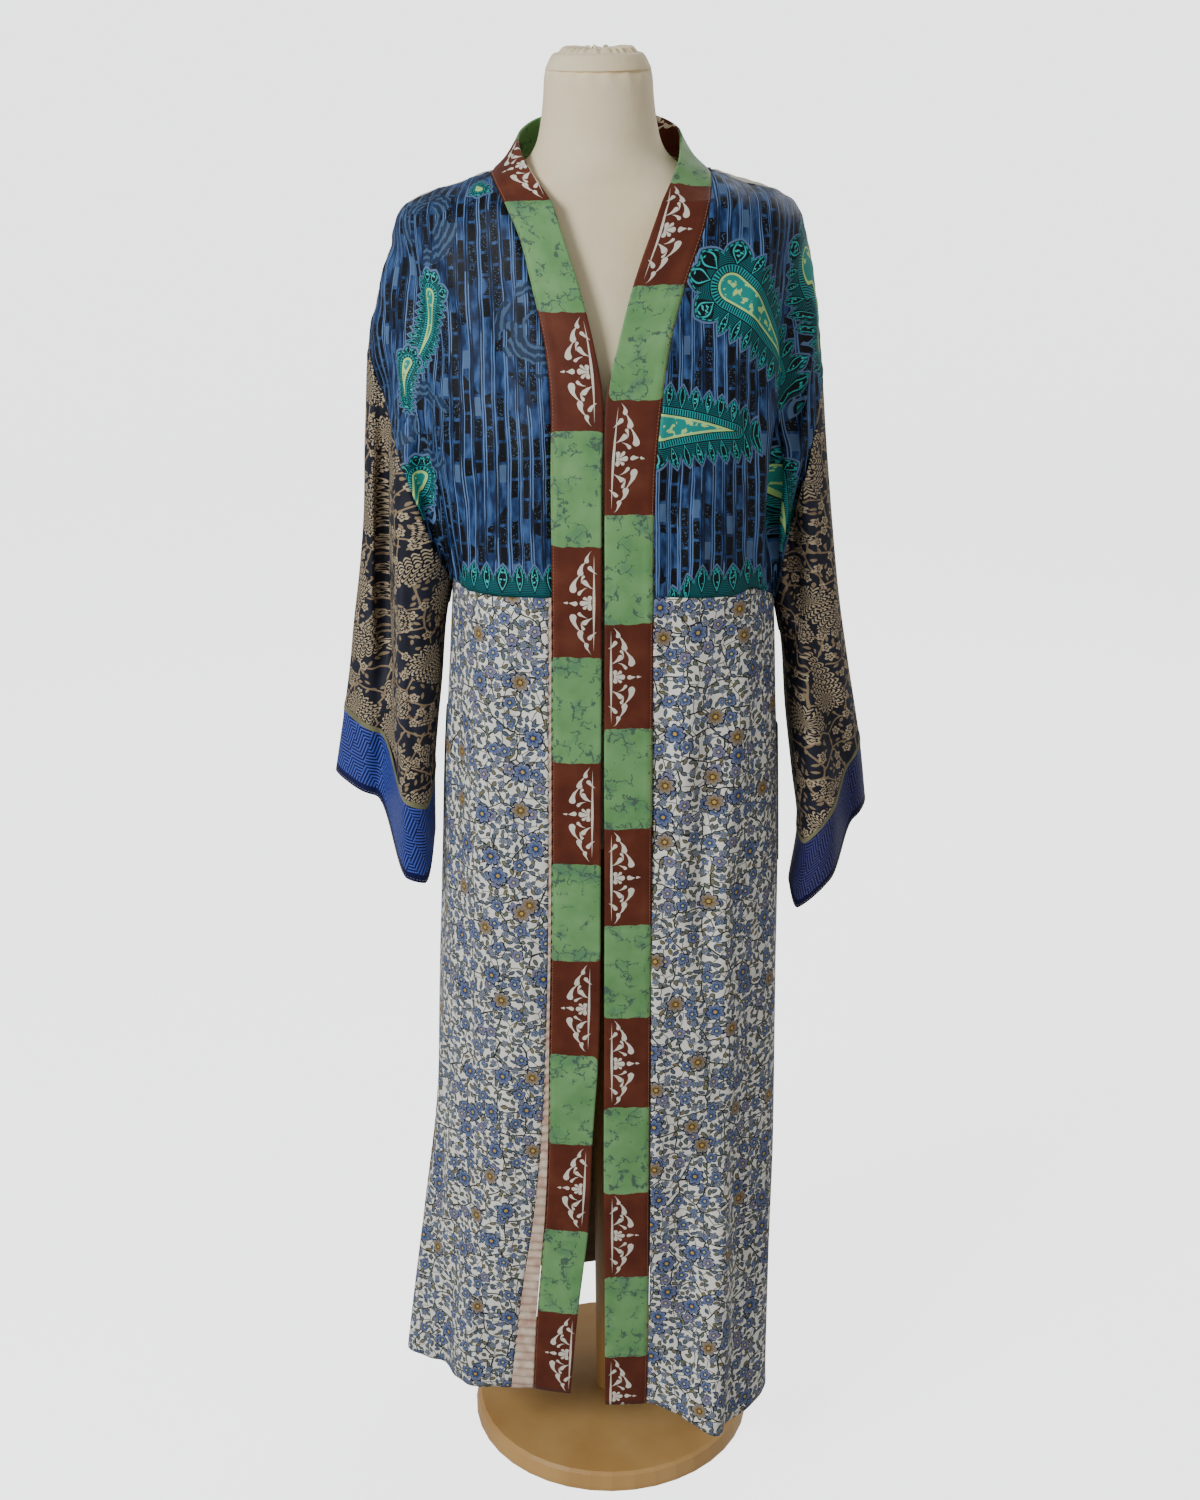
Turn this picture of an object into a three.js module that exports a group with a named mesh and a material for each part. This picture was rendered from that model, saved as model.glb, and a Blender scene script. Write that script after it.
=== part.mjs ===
// A patchwork kimono robe on a dress form with a wooden stand.
// Millimetres, +Z up, the front faces -Y, and +X is the wearer's left.
// The origin is the middle of the base's underside, on the floor.
import * as THREE from 'three';

// Driving sizes
const CLOTH = 1.4;
const BAND = 2.4;
const SEAM = 0.3;
const EASE = 1e-3;

const V = (x, y, z) => new THREE.Vector3(x, y, z);
const lerp = THREE.MathUtils.lerp;

// A short table: the first text names the columns, and each list is one row.
function table(columns, ...rows) {
  const names = columns.split(' ');
  return rows.map((row) => Object.fromEntries(names.map((name, i) => [name, row[i]])));
}

// Smooth value of one column where the table's first key reaches a given value
function read(rows, key, column, at) {
  const last = rows.length - 1;
  let i = 0;
  while (i < last - 1 && at > rows[i + 1][key]) i += 1;
  const slope = (a, b) => (rows[b][column] - rows[a][column]) / (rows[b][key] - rows[a][key]);
  const span = rows[i + 1][key] - rows[i][key];
  const t = THREE.MathUtils.clamp((at - rows[i][key]) / span, 0, 1);
  const start = slope(Math.max(i - 1, 0), i + 1) * span;
  const end = slope(i, Math.min(i + 2, last)) * span;
  const a = rows[i][column];
  const b = rows[i + 1][column];
  return a + t * start + t * t * (3 * (b - a) - 2 * start - end) + t * t * t * (start + end - 2 * (b - a));
}

// A smooth curve through neighbours, at place u between station 0 and the last
function through(stations, u, at) {
  const last = stations.length - 1;
  const i = Math.min(Math.max(Math.floor(u), 0), last - 1);
  const t = u - i;
  const point = (k) => {
    if (k < 0) return at(stations[0]).multiplyScalar(2).sub(at(stations[1]));
    if (k > last) return at(stations[last]).multiplyScalar(2).sub(at(stations[last - 1]));
    return at(stations[k]);
  };
  const [a, b, c, d] = [point(i - 1), point(i), point(i + 1), point(i + 2)];
  const t2 = t * t;
  const t3 = t2 * t;
  return V(0, 0, 0)
    .addScaledVector(a, (-t + 2 * t2 - t3) / 2)
    .addScaledVector(b, (2 - 5 * t2 + 3 * t3) / 2)
    .addScaledVector(c, (t + 4 * t2 - 3 * t3) / 2)
    .addScaledVector(d, (t3 - t2) / 2);
}

const bump = (x, width) => Math.exp(-((x / width) ** 2));
const steps = (from, to, count) => Array.from({ length: count + 1 }, (_, i) => lerp(from, to, i / count));

// Outward normal of a surface, from points a small step to each side
function normalAt(surface, u, v, side) {
  const along = surface(u + EASE, v).sub(surface(u - EASE, v));
  const across = surface(u, v + EASE).sub(surface(u, v - EASE));
  return along.cross(across).normalize().multiplyScalar(side);
}

// A closed wall of cloth: its outer skin is the surface, its inner one lies inside it.
// loose names the edges that stop half a seam short of the neighbour: u0, u1, v0, v1.
function wall(surface, us, vs, { side = 1, thick = CLOTH, loose = '', ring = false, lift = 0 } = {}) {
  const rows = us.map((u) => vs.map((v) => surface(u, v)));
  const normals = us.map((u) => vs.map((v) => normalAt(surface, u, v, side)));
  const pull = (edge, inner) => edge.add(inner.clone().sub(edge).normalize().multiplyScalar(SEAM / 2));
  const [lastU, lastV] = [us.length - 1, vs.length - 1];
  if (loose.includes('v0')) rows.forEach((row) => pull(row[0], row[1]));
  if (loose.includes('v1')) rows.forEach((row) => pull(row[lastV], row[lastV - 1]));
  if (loose.includes('u0')) rows[0].forEach((p, j) => pull(p, rows[1][j]));
  if (loose.includes('u1')) rows[lastU].forEach((p, j) => pull(p, rows[lastU - 1][j]));
  const nv = ring ? lastV : lastV + 1;
  const nu = us.length;
  const position = [];
  for (const depth of [lift, lift - thick]) {
    for (let i = 0; i < nu; i += 1) {
      for (let j = 0; j < nv; j += 1) {
        position.push(...rows[i][j].clone().addScaledVector(normals[i][j], depth).toArray());
      }
    }
  }
  const id = (layer, i, j) => layer * nu * nv + i * nv + (j % nv);
  const index = [];
  const quad = (a, b, c, d) => index.push(a, b, c, a, c, d);
  for (let i = 0; i < nu - 1; i += 1) {
    for (let j = 0; j < lastV; j += 1) {
      quad(id(0, i, j), id(0, i + 1, j), id(0, i + 1, j + 1), id(0, i, j + 1));
      quad(id(1, i, j), id(1, i, j + 1), id(1, i + 1, j + 1), id(1, i + 1, j));
    }
  }
  for (let j = 0; j < lastV; j += 1) {
    quad(id(0, 0, j), id(0, 0, j + 1), id(1, 0, j + 1), id(1, 0, j));
    quad(id(0, nu - 1, j), id(1, nu - 1, j), id(1, nu - 1, j + 1), id(0, nu - 1, j + 1));
  }
  for (let i = 0; i < nu - 1 && !ring; i += 1) {
    quad(id(0, i, 0), id(1, i, 0), id(1, i + 1, 0), id(0, i + 1, 0));
    quad(id(0, i, lastV), id(0, i + 1, lastV), id(1, i + 1, lastV), id(1, i, lastV));
  }
  return solid(position, index);
}

// A closed geometry with its faces pointing out
function solid(position, index) {
  let volume = 0;
  const at = (k) => V(...position.slice(3 * k, 3 * k + 3));
  for (let k = 0; k < index.length; k += 3) {
    volume += at(index[k]).dot(at(index[k + 1]).cross(at(index[k + 2])));
  }
  const faces = volume > 0 ? index : index.map((_, k) => index[k - (k % 3) + (2 - (k % 3))]);
  const geometry = new THREE.BufferGeometry();
  geometry.setAttribute('position', new THREE.Float32BufferAttribute(position, 3));
  geometry.setIndex(faces);
  geometry.computeVertexNormals();
  return geometry;
}

// A solid through closed rings of points, closed by a flat cap at each end
function loft(rings) {
  const count = rings[0].length;
  const position = rings.flat().flatMap((p) => p.toArray());
  const index = [];
  for (let i = 0; i < rings.length - 1; i += 1) {
    for (let j = 0; j < count; j += 1) {
      const [a, b] = [i * count + j, i * count + ((j + 1) % count)];
      index.push(a, b, b + count, a, b + count, a + count);
    }
  }
  for (const [ring, turn] of [[0, 1], [rings.length - 1, 0]]) {
    const middle = rings[ring].reduce((sum, p) => sum.add(p), V(0, 0, 0)).divideScalar(count);
    const centre = position.length / 3;
    position.push(...middle.toArray());
    for (let j = 0; j < count; j += 1) {
      const pair = [ring * count + j, ring * count + ((j + 1) % count)];
      index.push(centre, pair[turn], pair[1 - turn]);
    }
  }
  return solid(position, index);
}

// The robe's outline round the body: half-width, front and back depth at each height
const BODY = table('z half front back',
  [1011, 178, 142, 106], [1120, 184, 139, 106], [1190, 192, 136, 107], [1240, 198, 129, 108],
  [1300, 202, 115, 106], [1350, 203, 101, 102], [1377, 200, 93, 98], [1393, 193, 88, 94],
  [1405, 179, 82, 91], [1414, 158, 78, 89], [1421, 134, 75, 87], [1428, 108, 72, 85],
  [1440, 84, 68, 81], [1458, 66, 62, 74]);
const RIDGE_Y = 20;
const ROUND = 2.3;
const ridgeY = (z) => RIDGE_Y * THREE.MathUtils.smoothstep(z, 1060, 1340);

// Depth of the robe at one place across the body, on its front (side -1) or back (side 1)
function bodyY(x, z, side, shrink = 0) {
  const half = read(BODY, 'z', 'half', z) - shrink;
  const depth = read(BODY, 'z', side < 0 ? 'front' : 'back', z) - shrink;
  const reach = Math.min(Math.abs(x) / half, 1);
  return ridgeY(z) + (side * depth - ridgeY(z)) * (1 - reach ** ROUND) ** (1 / ROUND);
}

// Height of the shoulder line over one place across the body, found by halving a range
function ridgeZ(x) {
  let [low, high] = [1377, 1440];
  for (let k = 0; k < 40; k += 1) {
    const middle = (low + high) / 2;
    if (read(BODY, 'z', 'half', middle) > x) low = middle;
    else high = middle;
  }
  return low;
}

// The band from hem to shoulder: its meeting edge and its sewn edge, wearer's left and right
const BAND_LEFT = table('z edge seam',
  [104, -7, 40], [250, -6, 43], [375, -6, 44], [560, -4, 45], [735, -2, 46], [885, -1, 47],
  [1050, 1, 48], [1165, 2, 50], [1240, 4, 57], [1290, 16, 65], [1340, 30, 79], [1383, 46, 95],
  [1411, 57, 103]);
const BAND_RIGHT = table('z edge seam',
  [118, -46, -88], [218, -37, -82], [285, -29, -76], [350, -22, -70], [438, -18, -65],
  [572, -9, -61], [733, -6, -56], [885, -4, -53], [1050, -2, -50], [1165, -1, -49],
  [1240, 1, -48], [1290, -7, -53], [1340, -20, -64], [1383, -34, -75], [1411, -43, -88]);
// The collar from there round the back of the neck: sewn edge, then the standing top edge
const COLLAR = table('turn leftSeam rightSeam seamY seamZ leftTop rightTop topY topZ',
  [0, 103, -88, -63, 1411, 57, -43, -79, 1411], [1, 106, -100, -21, 1428, 73, -66, -38, 1440],
  [2, 104, -103, 22, 1431, 78, -77, 6, 1457], [3, 86, -85, 54, 1437, 76, -74, 46, 1468],
  [4, 48, -48, 74, 1443, 50, -50, 74, 1478], [5, 0, 0, 80, 1445, 0, 0, 83, 1482]);
const NECK_Z = COLLAR[0].seamZ;

// Skirt outline at each height: side of the wearer's left and right, front and back depth
const SKIRT = table('z left right front back',
  [80, 172, -238, 141, 120], [262, 178, -214, 141, 116], [412, 184, -193, 141, 114],
  [667, 184, -176, 141, 111], [850, 180, -166, 141, 108], [960, 176, -157, 141, 107],
  [1052, 171, -150, 141, 106]);
const WAIST_Z = { middle: 1052, left: 1014, right: 1041 };
const SIDE_Y = -8;
const bands = (body) => (body === 'left' ? BAND_LEFT : BAND_RIGHT);

// Depth of the robe's front beside the band, from the hem up to the neck
function frontY(x, z) {
  const scale = read(SKIRT, 'z', 'front', Math.min(z, WAIST_Z.middle)) / SKIRT.at(-1).front;
  return scale * bodyY(x, Math.max(z, WAIST_Z.middle), -1);
}

// Place round the body at one height: turn 0 is the band or the back's middle, 1 the side
function hoop(body, face, turn, z) {
  const round = (part) => Math.max(part, 0) ** (2 / ROUND);
  const seam = face < 0 ? read(bands(body), 'z', 'seam', Math.max(z, bands(body)[0].z)) : 0;
  const depth = face < 0 ? frontY(seam, z) : read(SKIRT, 'z', 'back', z);
  const across = lerp(seam, read(SKIRT, 'z', body, z), round(Math.sin(turn * Math.PI / 2)));
  return V(across, SIDE_Y + (depth - SIDE_Y) * round(Math.cos(turn * Math.PI / 2)), z);
}

// The waist seam, with a small peak in the wearer's left front
function waist(body, face, turn) {
  const peak = body === 'left' && face < 0 ? 12 * bump(turn - 0.62, 0.2) * Math.sin(Math.PI * turn) : 0;
  const z = lerp(WAIST_Z.middle, WAIST_Z[body], turn ** 1.5);
  return hoop(body, face, turn, z).setZ(z + peak);
}

// One line of the body's cloth, down to the waist: from the rounded shoulder ridge it falls
// slowly at first, and from the neck seam evenly
const ridgeFall = (v) => v * v * (1.6 - 0.6 * v);
const neckFall = (v) => v;
function bodyLine(body, face, top, turn, fall) {
  const foot = waist(body, face, turn);
  const slip = foot.y - bodyY(foot.x, foot.z, face);
  const start = top.y - bodyY(top.x, top.z, face);
  return (v) => {
    const [x, z] = [lerp(top.x, foot.x, v ** 1.3), lerp(top.z, foot.z, fall(v))];
    return V(x, bodyY(x, z, face) + slip * fall(v) + start * (1 - v) ** 4, z);
  };
}

// The band's sewn edge (out 0) and its top or meeting edge (out 1) beside the neck
function collar(body, turn, out) {
  const at = (name) => read(COLLAR, 'turn', name, turn);
  const join = Math.max(1 - turn, 0);
  const seam = V(at(body + 'Seam'), at('seamY'), at('seamZ'));
  const top = V(at(body + 'Top'), at('topY'), at('topZ'));
  seam.y += join * (frontY(seam.x, NECK_Z) - COLLAR[0].seamY);
  top.y += join * (frontY(top.x, NECK_Z) - COLLAR[0].topY);
  return seam.lerp(top, out);
}

// Front line beside the band, on the band's sewn edge
const NECK_SHARE = 0.185;
function bandLine(body) {
  const [top, foot] = [collar(body, 2, 0), waist(body, -1, 0)];
  return (v) => {
    if (v < NECK_SHARE) return collar(body, 2 - 2 * v / NECK_SHARE, 0);
    const z = lerp(NECK_Z, foot.z, ((v - NECK_SHARE) / (1 - NECK_SHARE)) ** 1.15);
    const x = read(bands(body), 'z', 'seam', z);
    return V(x, frontY(x, z), z);
  };
}

// Sleeve sections. Each goes from the outer fold to the underarm seam and bulges to the front
// and back. A lengthwise valley in front lies at place, with a share of the depth before it
// and the whole depth after it. dip lowers the front lobe at the cuff.
const SLEEVE_COLUMNS = 'name ox oy oz ix iy iz front back valley place share dip';
const SLEEVES = {
  left: table(SLEEVE_COLUMNS,
    ['yoke', 204, 18, 1352, 0, 0, 0, 44, 60, 0, 0.5, 1, 0],
    ['armhole', 212, 14, 1300, 0, 0, 0, 50, 66, 8, 0.62, 1, 0],
    ['drop seam', 218, 10, 1240, 0, 0, 0, 50, 62, 24, 0.6, 1, 0],
    ['upper', 227, 6, 1142, 184, -6, 955, 54, 56, 22, 0.58, 1, 0],
    ['elbow', 237, 3, 1040, 189, -14, 890, 58, 52, 14, 0.5, 0.9, 0],
    ['lower', 252, 1, 946, 196, -26, 826, 56, 50, 12, 0.42, 0.8, 0],
    ['cuff seam', 268, 0, 856, 202, -34, 766, 52, 48, 12, 0.36, 0.75, 12],
    ['cuff end', 277, 0, 786, 194, -38, 704, 48, 46, 12, 0.34, 0.75, 26]),
  right: table(SLEEVE_COLUMNS,
    ['yoke', -204, 20, 1362, 0, 0, 0, 44, 60, 0, 0.5, 1, 0],
    ['armhole', -218, 30, 1316, 0, 0, 0, 58, 62, 10, 0.34, 0.9, 0],
    ['drop seam', -232, 40, 1262, 0, 0, 0, 76, 52, 22, 0.32, 0.7, 0],
    ['upper', -239, 42, 1180, -161, -8, 990, 80, 42, 24, 0.34, 0.5, 0],
    ['elbow', -246, 42, 1085, -167, -14, 930, 80, 36, 24, 0.38, 0.4, 4],
    ['lower', -260, 42, 980, -173, -22, 880, 76, 34, 22, 0.43, 0.35, 14],
    ['cuff seam', -277, 42, 880, -177, -28, 836, 70, 32, 20, 0.49, 0.3, 34],
    ['cuff end', -291, 42, 806, -179, -34, 766, 64, 30, 18, 0.5, 0.3, 50]),
};

// Stations from the back's middle outwards. The first four lie on the neck seam, the next
// four on the shoulder line, and then come the sleeve sections. front and back are the
// places of their feet on the waist seam.
const FEET = table('station turn top front back',
  [0, 5, 0, 0, 0], [1, 4, 0, 0, 0.13], [2, 3, 0, 0, 0.24], [3, 2, 0, 0, 0.33],
  [4, 0, 130, 0.2, 0.45], [5, 0, 153, 0.38, 0.56], [6, 0, 174, 0.56, 0.67],
  [7, 0, 192, 0.74, 0.79], [8, 0, 0, 0.88, 0.89], [9, 0, 0, 0.95, 0.95], [10, 0, 0, 1, 1]);
const [BAND_AT, RIDGE_AT, SLEEVE_AT, DROP_SEAM, CUFF_SEAM, CUFF_END] = [3, 4, 8, 10, 14, 15];

function sleeveLine(body, row, station) {
  const foot = (face) => {
    if (station > DROP_SEAM) return V(row.ix, row.iy, row.iz);
    return waist(body, face, FEET[station][face < 0 ? 'front' : 'back']);
  };
  return (v) => {
    const face = v > 0 ? -1 : 1;
    const a = Math.min(Math.abs(v), 1);
    const lobe = Math.sin(Math.PI * a) ** 0.85;
    const after = face < 0 ? THREE.MathUtils.smoothstep(a, row.place - 0.06, row.place + 0.16) : 1;
    const depth = (face < 0 ? row.front : row.back) * lobe * lerp(row.share, 1, after);
    const valley = row.valley * bump(a - row.place, 0.1) * (face < 0 ? 1 : 0.35);
    const middle = V(row.ox, row.oy, row.oz).lerp(foot(face), (1 - Math.cos(Math.PI * a)) / 2);
    middle.y += face * (depth - valley);
    middle.z -= face < 0 ? row.dip * after * (1 - THREE.MathUtils.smoothstep(a, 0.8, 1)) : 0;
    return middle;
  };
}

function stationLine(body, station) {
  const sign = body === 'left' ? 1 : -1;
  const { turn, top, front, back } = FEET[station] ?? {};
  if (station >= SLEEVE_AT) return sleeveLine(body, SLEEVES[body][station - SLEEVE_AT], station);
  const crest = station < RIDGE_AT ? collar(body, turn, 0) : V(sign * top, RIDGE_Y, ridgeZ(top));
  const fall = station < BAND_AT ? neckFall : ridgeFall;
  const behind = bodyLine(body, 1, crest, back, fall);
  let before = bodyLine(body, -1, crest, front, fall);
  if (station === BAND_AT) before = bandLine(body);
  if (station < BAND_AT) {
    const [edge, next] = [stationLine(body, BAND_AT), stationLine(body, RIDGE_AT)];
    const beyond = (v) => edge(v).multiplyScalar(2).sub(next(v));
    before = (v) => crest.clone().lerp(beyond(v), THREE.MathUtils.smoothstep(v, 0, NECK_SHARE));
  }
  return (v) => (v < 0 ? behind(-v) : before(v));
}

// All lines from the wearer's right cuff to the left cuff, with the back's middle at place 0
const LINES = steps(-CUFF_END, CUFF_END, 2 * CUFF_END)
  .map((station) => stationLine(station < 0 ? 'right' : 'left', Math.abs(Math.round(station))));

// Place on the robe's upper part and sleeves: u is the station, negative on the wearer's
// right; v goes from the ridge (0) to the front waist or underarm (1) or the back ones (-1)
function cloth(u, v) {
  const edge = Math.min(Math.max(v, -1), 1);
  const at = (w) => through(LINES, u + CUFF_END, (line) => line(w));
  if (Math.abs(u) > DROP_SEAM - 2 * EASE && edge !== v) return at(v - 2 * edge);
  return edge === v ? at(v) : at(edge).multiplyScalar(2).sub(at(2 * edge - v));
}

// Hem heights and soft upright folds round the skirt: place, width, depth, starting height
const HEM = table('turn left right backLeft backRight',
  [0, 104, 118, 112, 112], [0.5, 86, 121, 112, 115], [1, 110, 122, 110, 122]);
const FOLDS = {
  left: table('turn width depth start', [0.3, 0.09, 10, 900], [0.52, 0.09, -14, 700], [0.76, 0.08, 14, 840]),
  right: table('turn width depth start', [0.28, 0.08, 8, 880], [0.52, 0.1, -12, 800], [0.78, 0.08, 10, 700]),
  back: table('turn width depth start', [0.14, 0.07, -10, 900], [0.34, 0.08, 12, 760],
    [0.56, 0.08, -12, 880], [0.78, 0.07, 10, 700]),
};
const FLARE = { reach: 56, start: 420 };

// Place on the skirt: u is the station on the waist seam and drop goes from 0 to 1 at the hem
function skirt(face, u, drop) {
  if (Math.abs(u) > DROP_SEAM) return skirt(-face, Math.sign(u) * (2 * DROP_SEAM - Math.abs(u)), drop);
  const body = u < 0 ? 'right' : 'left';
  const top = cloth(u, face < 0 ? 1 : -1);
  const turn = read(FEET, 'station', face < 0 ? 'front' : 'back', Math.abs(u));
  const hem = read(HEM, 'turn', face < 0 ? body : body === 'left' ? 'backLeft' : 'backRight', turn);
  const point = hoop(body, face, turn, lerp(top.z, hem, drop));
  const start = top.clone().sub(hoop(body, face, turn, top.z));
  point.addScaledVector(start, Math.max(1 - drop, 0) ** 3);
  const grow = (from) => THREE.MathUtils.clamp((from - point.z) / (from - hem), 0, 1) ** 1.4;
  const out = V(turn * Math.sign(u || 1), face * (1.1 - turn), 0).normalize();
  const folds = face < 0 ? FOLDS[body] : FOLDS.back;
  const push = folds.reduce((sum, f) => sum + f.depth * grow(f.start) * bump(turn - f.turn, f.width), 0);
  point.addScaledVector(out, push);
  if (body === 'left' && face < 0) {
    point.y -= FLARE.reach * grow(FLARE.start) * Math.max(Math.sin(Math.PI * turn), 0) ** 1.5;
  }
  return point;
}

// Place on the neck band: s goes from the hem (0) over the neck (1) to the back's middle (2),
// out from the sewn edge (0) to the meeting or standing edge (1)
function band(body, s, out) {
  if (s > 2) return band(body === 'left' ? 'right' : 'left', 4 - s, out);
  if (s > 1) {
    const turn = 5 * (s - 1);
    const top = collar(body, turn, 1);
    if (turn <= 2) return collar(body, turn, 0).lerp(top, out);
    return cloth((body === 'left' ? 1 : -1) * (5 - turn), 0).lerp(top, out);
  }
  const rows = bands(body);
  const z = lerp(rows[0].z, NECK_Z, s);
  const x = lerp(read(rows, 'z', 'seam', z), read(rows, 'z', 'edge', z), out);
  return V(x, frontY(x, z), z);
}

// The width of the satin strip beside the wearer's right band, as a share of the first station
const STRIP = { top: 0.07, foot: 0.5, start: 0.42 };
const stripWidth = (drop) => lerp(STRIP.top, STRIP.foot, THREE.MathUtils.smoothstep(drop, STRIP.start, 1.1));

// Colours, and how rough each cloth is
const LOOK = {
  bluePrint: ['#4a628c', 0.5], cream: ['#d9d2c2', 0.6], floral: ['#d8d6d2', 0.5],
  ochre: ['#a06f22', 0.5], sleeve: ['#34343c', 0.5], cuff: ['#3348a0', 0.4], khaki: ['#7c7a5a', 0.5],
  band: ['#6b3f2e', 0.7], teal: ['#4f9aa0', 0.5], satin: ['#e6d3c6', 0.3], form: ['#e3d9c6', 0.9],
  wood: ['#c79a5c', 0.6],
};
const kimono = new THREE.Group();

function add(name, look, geometry) {
  const [color, roughness] = LOOK[look];
  const mesh = new THREE.Mesh(geometry, new THREE.MeshStandardMaterial({ color, roughness, metalness: 0 }));
  mesh.name = name;
  kimono.add(mesh);
}

// How finely each piece is divided
const FINE = { neck: 4, across: 10, down: 12, round: 24, skirt: 12, sleeve: 8, cuff: 3 };

// Rows of the band, level with the rows of the panels that it is sewn to
function bandRows(body) {
  const hem = bands(body)[0].z;
  const skirtRows = steps(1, 0, FINE.skirt).map((drop) => lerp(WAIST_Z.middle, hem, drop));
  const upperRows = steps(1, 0, FINE.down).slice(1, -1).filter((v) => v > NECK_SHARE)
    .map((v) => bandLine(body)(v).z);
  const collarRows = steps(1, 0, FINE.down).filter((v) => v <= NECK_SHARE)
    .map((v) => 2 - 2 * v / NECK_SHARE);
  const neckRows = steps(2, 5, FINE.neck).slice(1);
  return [...[...skirtRows, ...upperRows].map((z) => (z - hem) / (NECK_Z - hem)),
    ...[...collarRows, ...neckRows].map((turn) => 1 + turn / 5)];
}

for (const body of ['left', 'right']) {
  const sign = body === 'left' ? 1 : -1;
  const side = -sign;
  const part = (u, v) => cloth(sign * u, v);
  const upper = steps(BAND_AT, DROP_SEAM, FINE.across);
  add(`${body}_front_upper`, 'bluePrint', wall(part, upper, steps(0, 1, FINE.down), { side, loose: 'u0u1v0v1' }));
  const sleeve = steps(DROP_SEAM, CUFF_SEAM, FINE.sleeve);
  const round = steps(-1, 1, FINE.round);
  add(`${body}_sleeve`, 'sleeve', wall(part, sleeve, round, { side, ring: true, loose: 'u0u1' }));
  const cuff = steps(CUFF_SEAM, CUFF_END, FINE.cuff);
  add(`${body}_cuff`, 'cuff', wall(part, cuff, round, { side, ring: true, loose: 'u0' }));
  const piping = steps(CUFF_SEAM - 0.04, CUFF_SEAM + 0.04, 1);
  const over = { side, ring: true, thick: 1, lift: 1.4 };
  add(`${body}_cuff_piping`, 'khaki', wall(part, piping, round, over));

  const drops = steps(0, 1, FINE.skirt);
  const opening = body === 'right' ? stripWidth : () => 0;
  const panel = (p, drop) => skirt(-1, sign * (lerp(BAND_AT, DROP_SEAM, p) + opening(drop) * (1 - p) ** 4), drop);
  add(`${body}_front_skirt`, 'floral', wall(panel, steps(0, 1, FINE.across), drops, { side, loose: 'u0u1v0' }));
  const pocket = (p, drop) => skirt(-1, sign * (DROP_SEAM + p), drop);
  add(`${body}_pocket`, 'teal', wall(pocket, steps(-0.5, 0.28, 6), steps(0.16, 0.33, 4),
    { side, thick: 1, lift: 1.5 }));
  const strap = (s, out) => band(body, s, out);
  add(`neck_band_${body}`, 'band', wall(strap, bandRows(body), steps(0.005, 1, 3),
    { side: sign, thick: BAND, loose: 'v0v1u1' }));
}
const halfBack = [...steps(0, BAND_AT, FINE.neck), ...steps(BAND_AT, DROP_SEAM, FINE.across).slice(1)];
const backRows = [...halfBack.slice(1).map((u) => -u).reverse(), ...halfBack];
add('back_upper', 'cream', wall(cloth, backRows, steps(-1, 0, FINE.down), { side: -1, loose: 'u0u1v0v1' }));
add('back_skirt', 'ochre', wall((u, drop) => skirt(1, u, drop), backRows, steps(0, 1, FINE.skirt),
  { side: 1, loose: 'u0u1v0' }));
const strip = (p, drop) => skirt(-1, -lerp(BAND_AT, BAND_AT + stripWidth(drop), p), drop);
add('satin_strip', 'satin', wall(strip, [0, 1], steps(0, 1, FINE.skirt), { side: 1, loose: 'u0u1v0' }));

// The dress form: section half-width, front and back depth at each height
const SEAT = 3.3;
const FORM = table('z half front back',
  [760, 140, 94, 88], [790, 150, 102, 96], [830, 154, 105, 100], [900, 148, 100, 97],
  [960, 130, 90, 88], [1010, 118, 85, 80], [1060, 124, 94, 84], [1120, 138, 112, 92],
  [1190, 149, 122, 98], [1240, 154, 116, 98], [1300, 166, 98, 98], [1345, 177, 86, 92]);
const SHOULDER_END = 180;
const SHOULDER = BODY.filter((row) => row.z >= 1377 && row.z <= 1428).map((row) => {
  const half = Math.min(row.half, SHOULDER_END + (row.half - SHOULDER_END) * 0.2);
  return { z: row.z - SEAT, half: half - (row.z > 1420 ? 8 : 0), front: row.front - 15, back: row.back - 20 };
});
const FORM_NECK = table('z half front back',
  [1437, 76, 56, 58], [1450, 62, 48, 52], [1470, 56, 44, 48], [1500, 52, 42, 46], [1540, 49, 40, 44]);
const FORM_SIDES = 32;
const NECK_TOP = 1529;
const BODICE = [...FORM, ...SHOULDER, ...FORM_NECK];

function formRing(z, shrink = 0) {
  const [half, front, back] = ['half', 'front', 'back'].map((name) => read(BODICE, 'z', name, z) - shrink);
  const lean = Math.max(z - 1450, 0);
  const middle = lerp(ridgeY(z), 4, THREE.MathUtils.smoothstep(z, 1420, 1500));
  return Array.from({ length: FORM_SIDES }, (_, k) => {
    const angle = (2 * Math.PI * k) / FORM_SIDES;
    const [c, s] = [Math.cos(angle), Math.sin(angle)];
    const power = z > 1437 ? 1 : 2 / ROUND;
    const y = middle + (s < 0 ? -(front + middle) : back - middle) * Math.abs(s) ** power;
    return V(half * Math.sign(c) * Math.abs(c) ** power, y, z + lean * 0.07 * (y / 44));
  });
}
const formHeights = [760, 775, 795, 830, 870, 920, 965, 1010, 1060, 1120, 1180, 1240, 1290, 1330, 1360,
  1374, 1386, 1396, 1404, 1411, 1417, 1422, 1427, 1432, 1439, 1450, 1466, 1490, 1512, NECK_TOP];
add('dress_form', 'form', loft(formHeights.map((z) => formRing(z, z === formHeights[0] ? 8 : 0))));

// The gathered cap that closes the neck: a low rim round a hollow middle
const CAP = table('rise shrink', [0, 1], [4, 0], [7, 3], [8, 8], [6.5, 15], [5, 24], [4.5, 34]);
add('neck_cap', 'form', loft(CAP.map(({ rise, shrink }) => formRing(NECK_TOP + SEAM + rise, shrink))));

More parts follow.
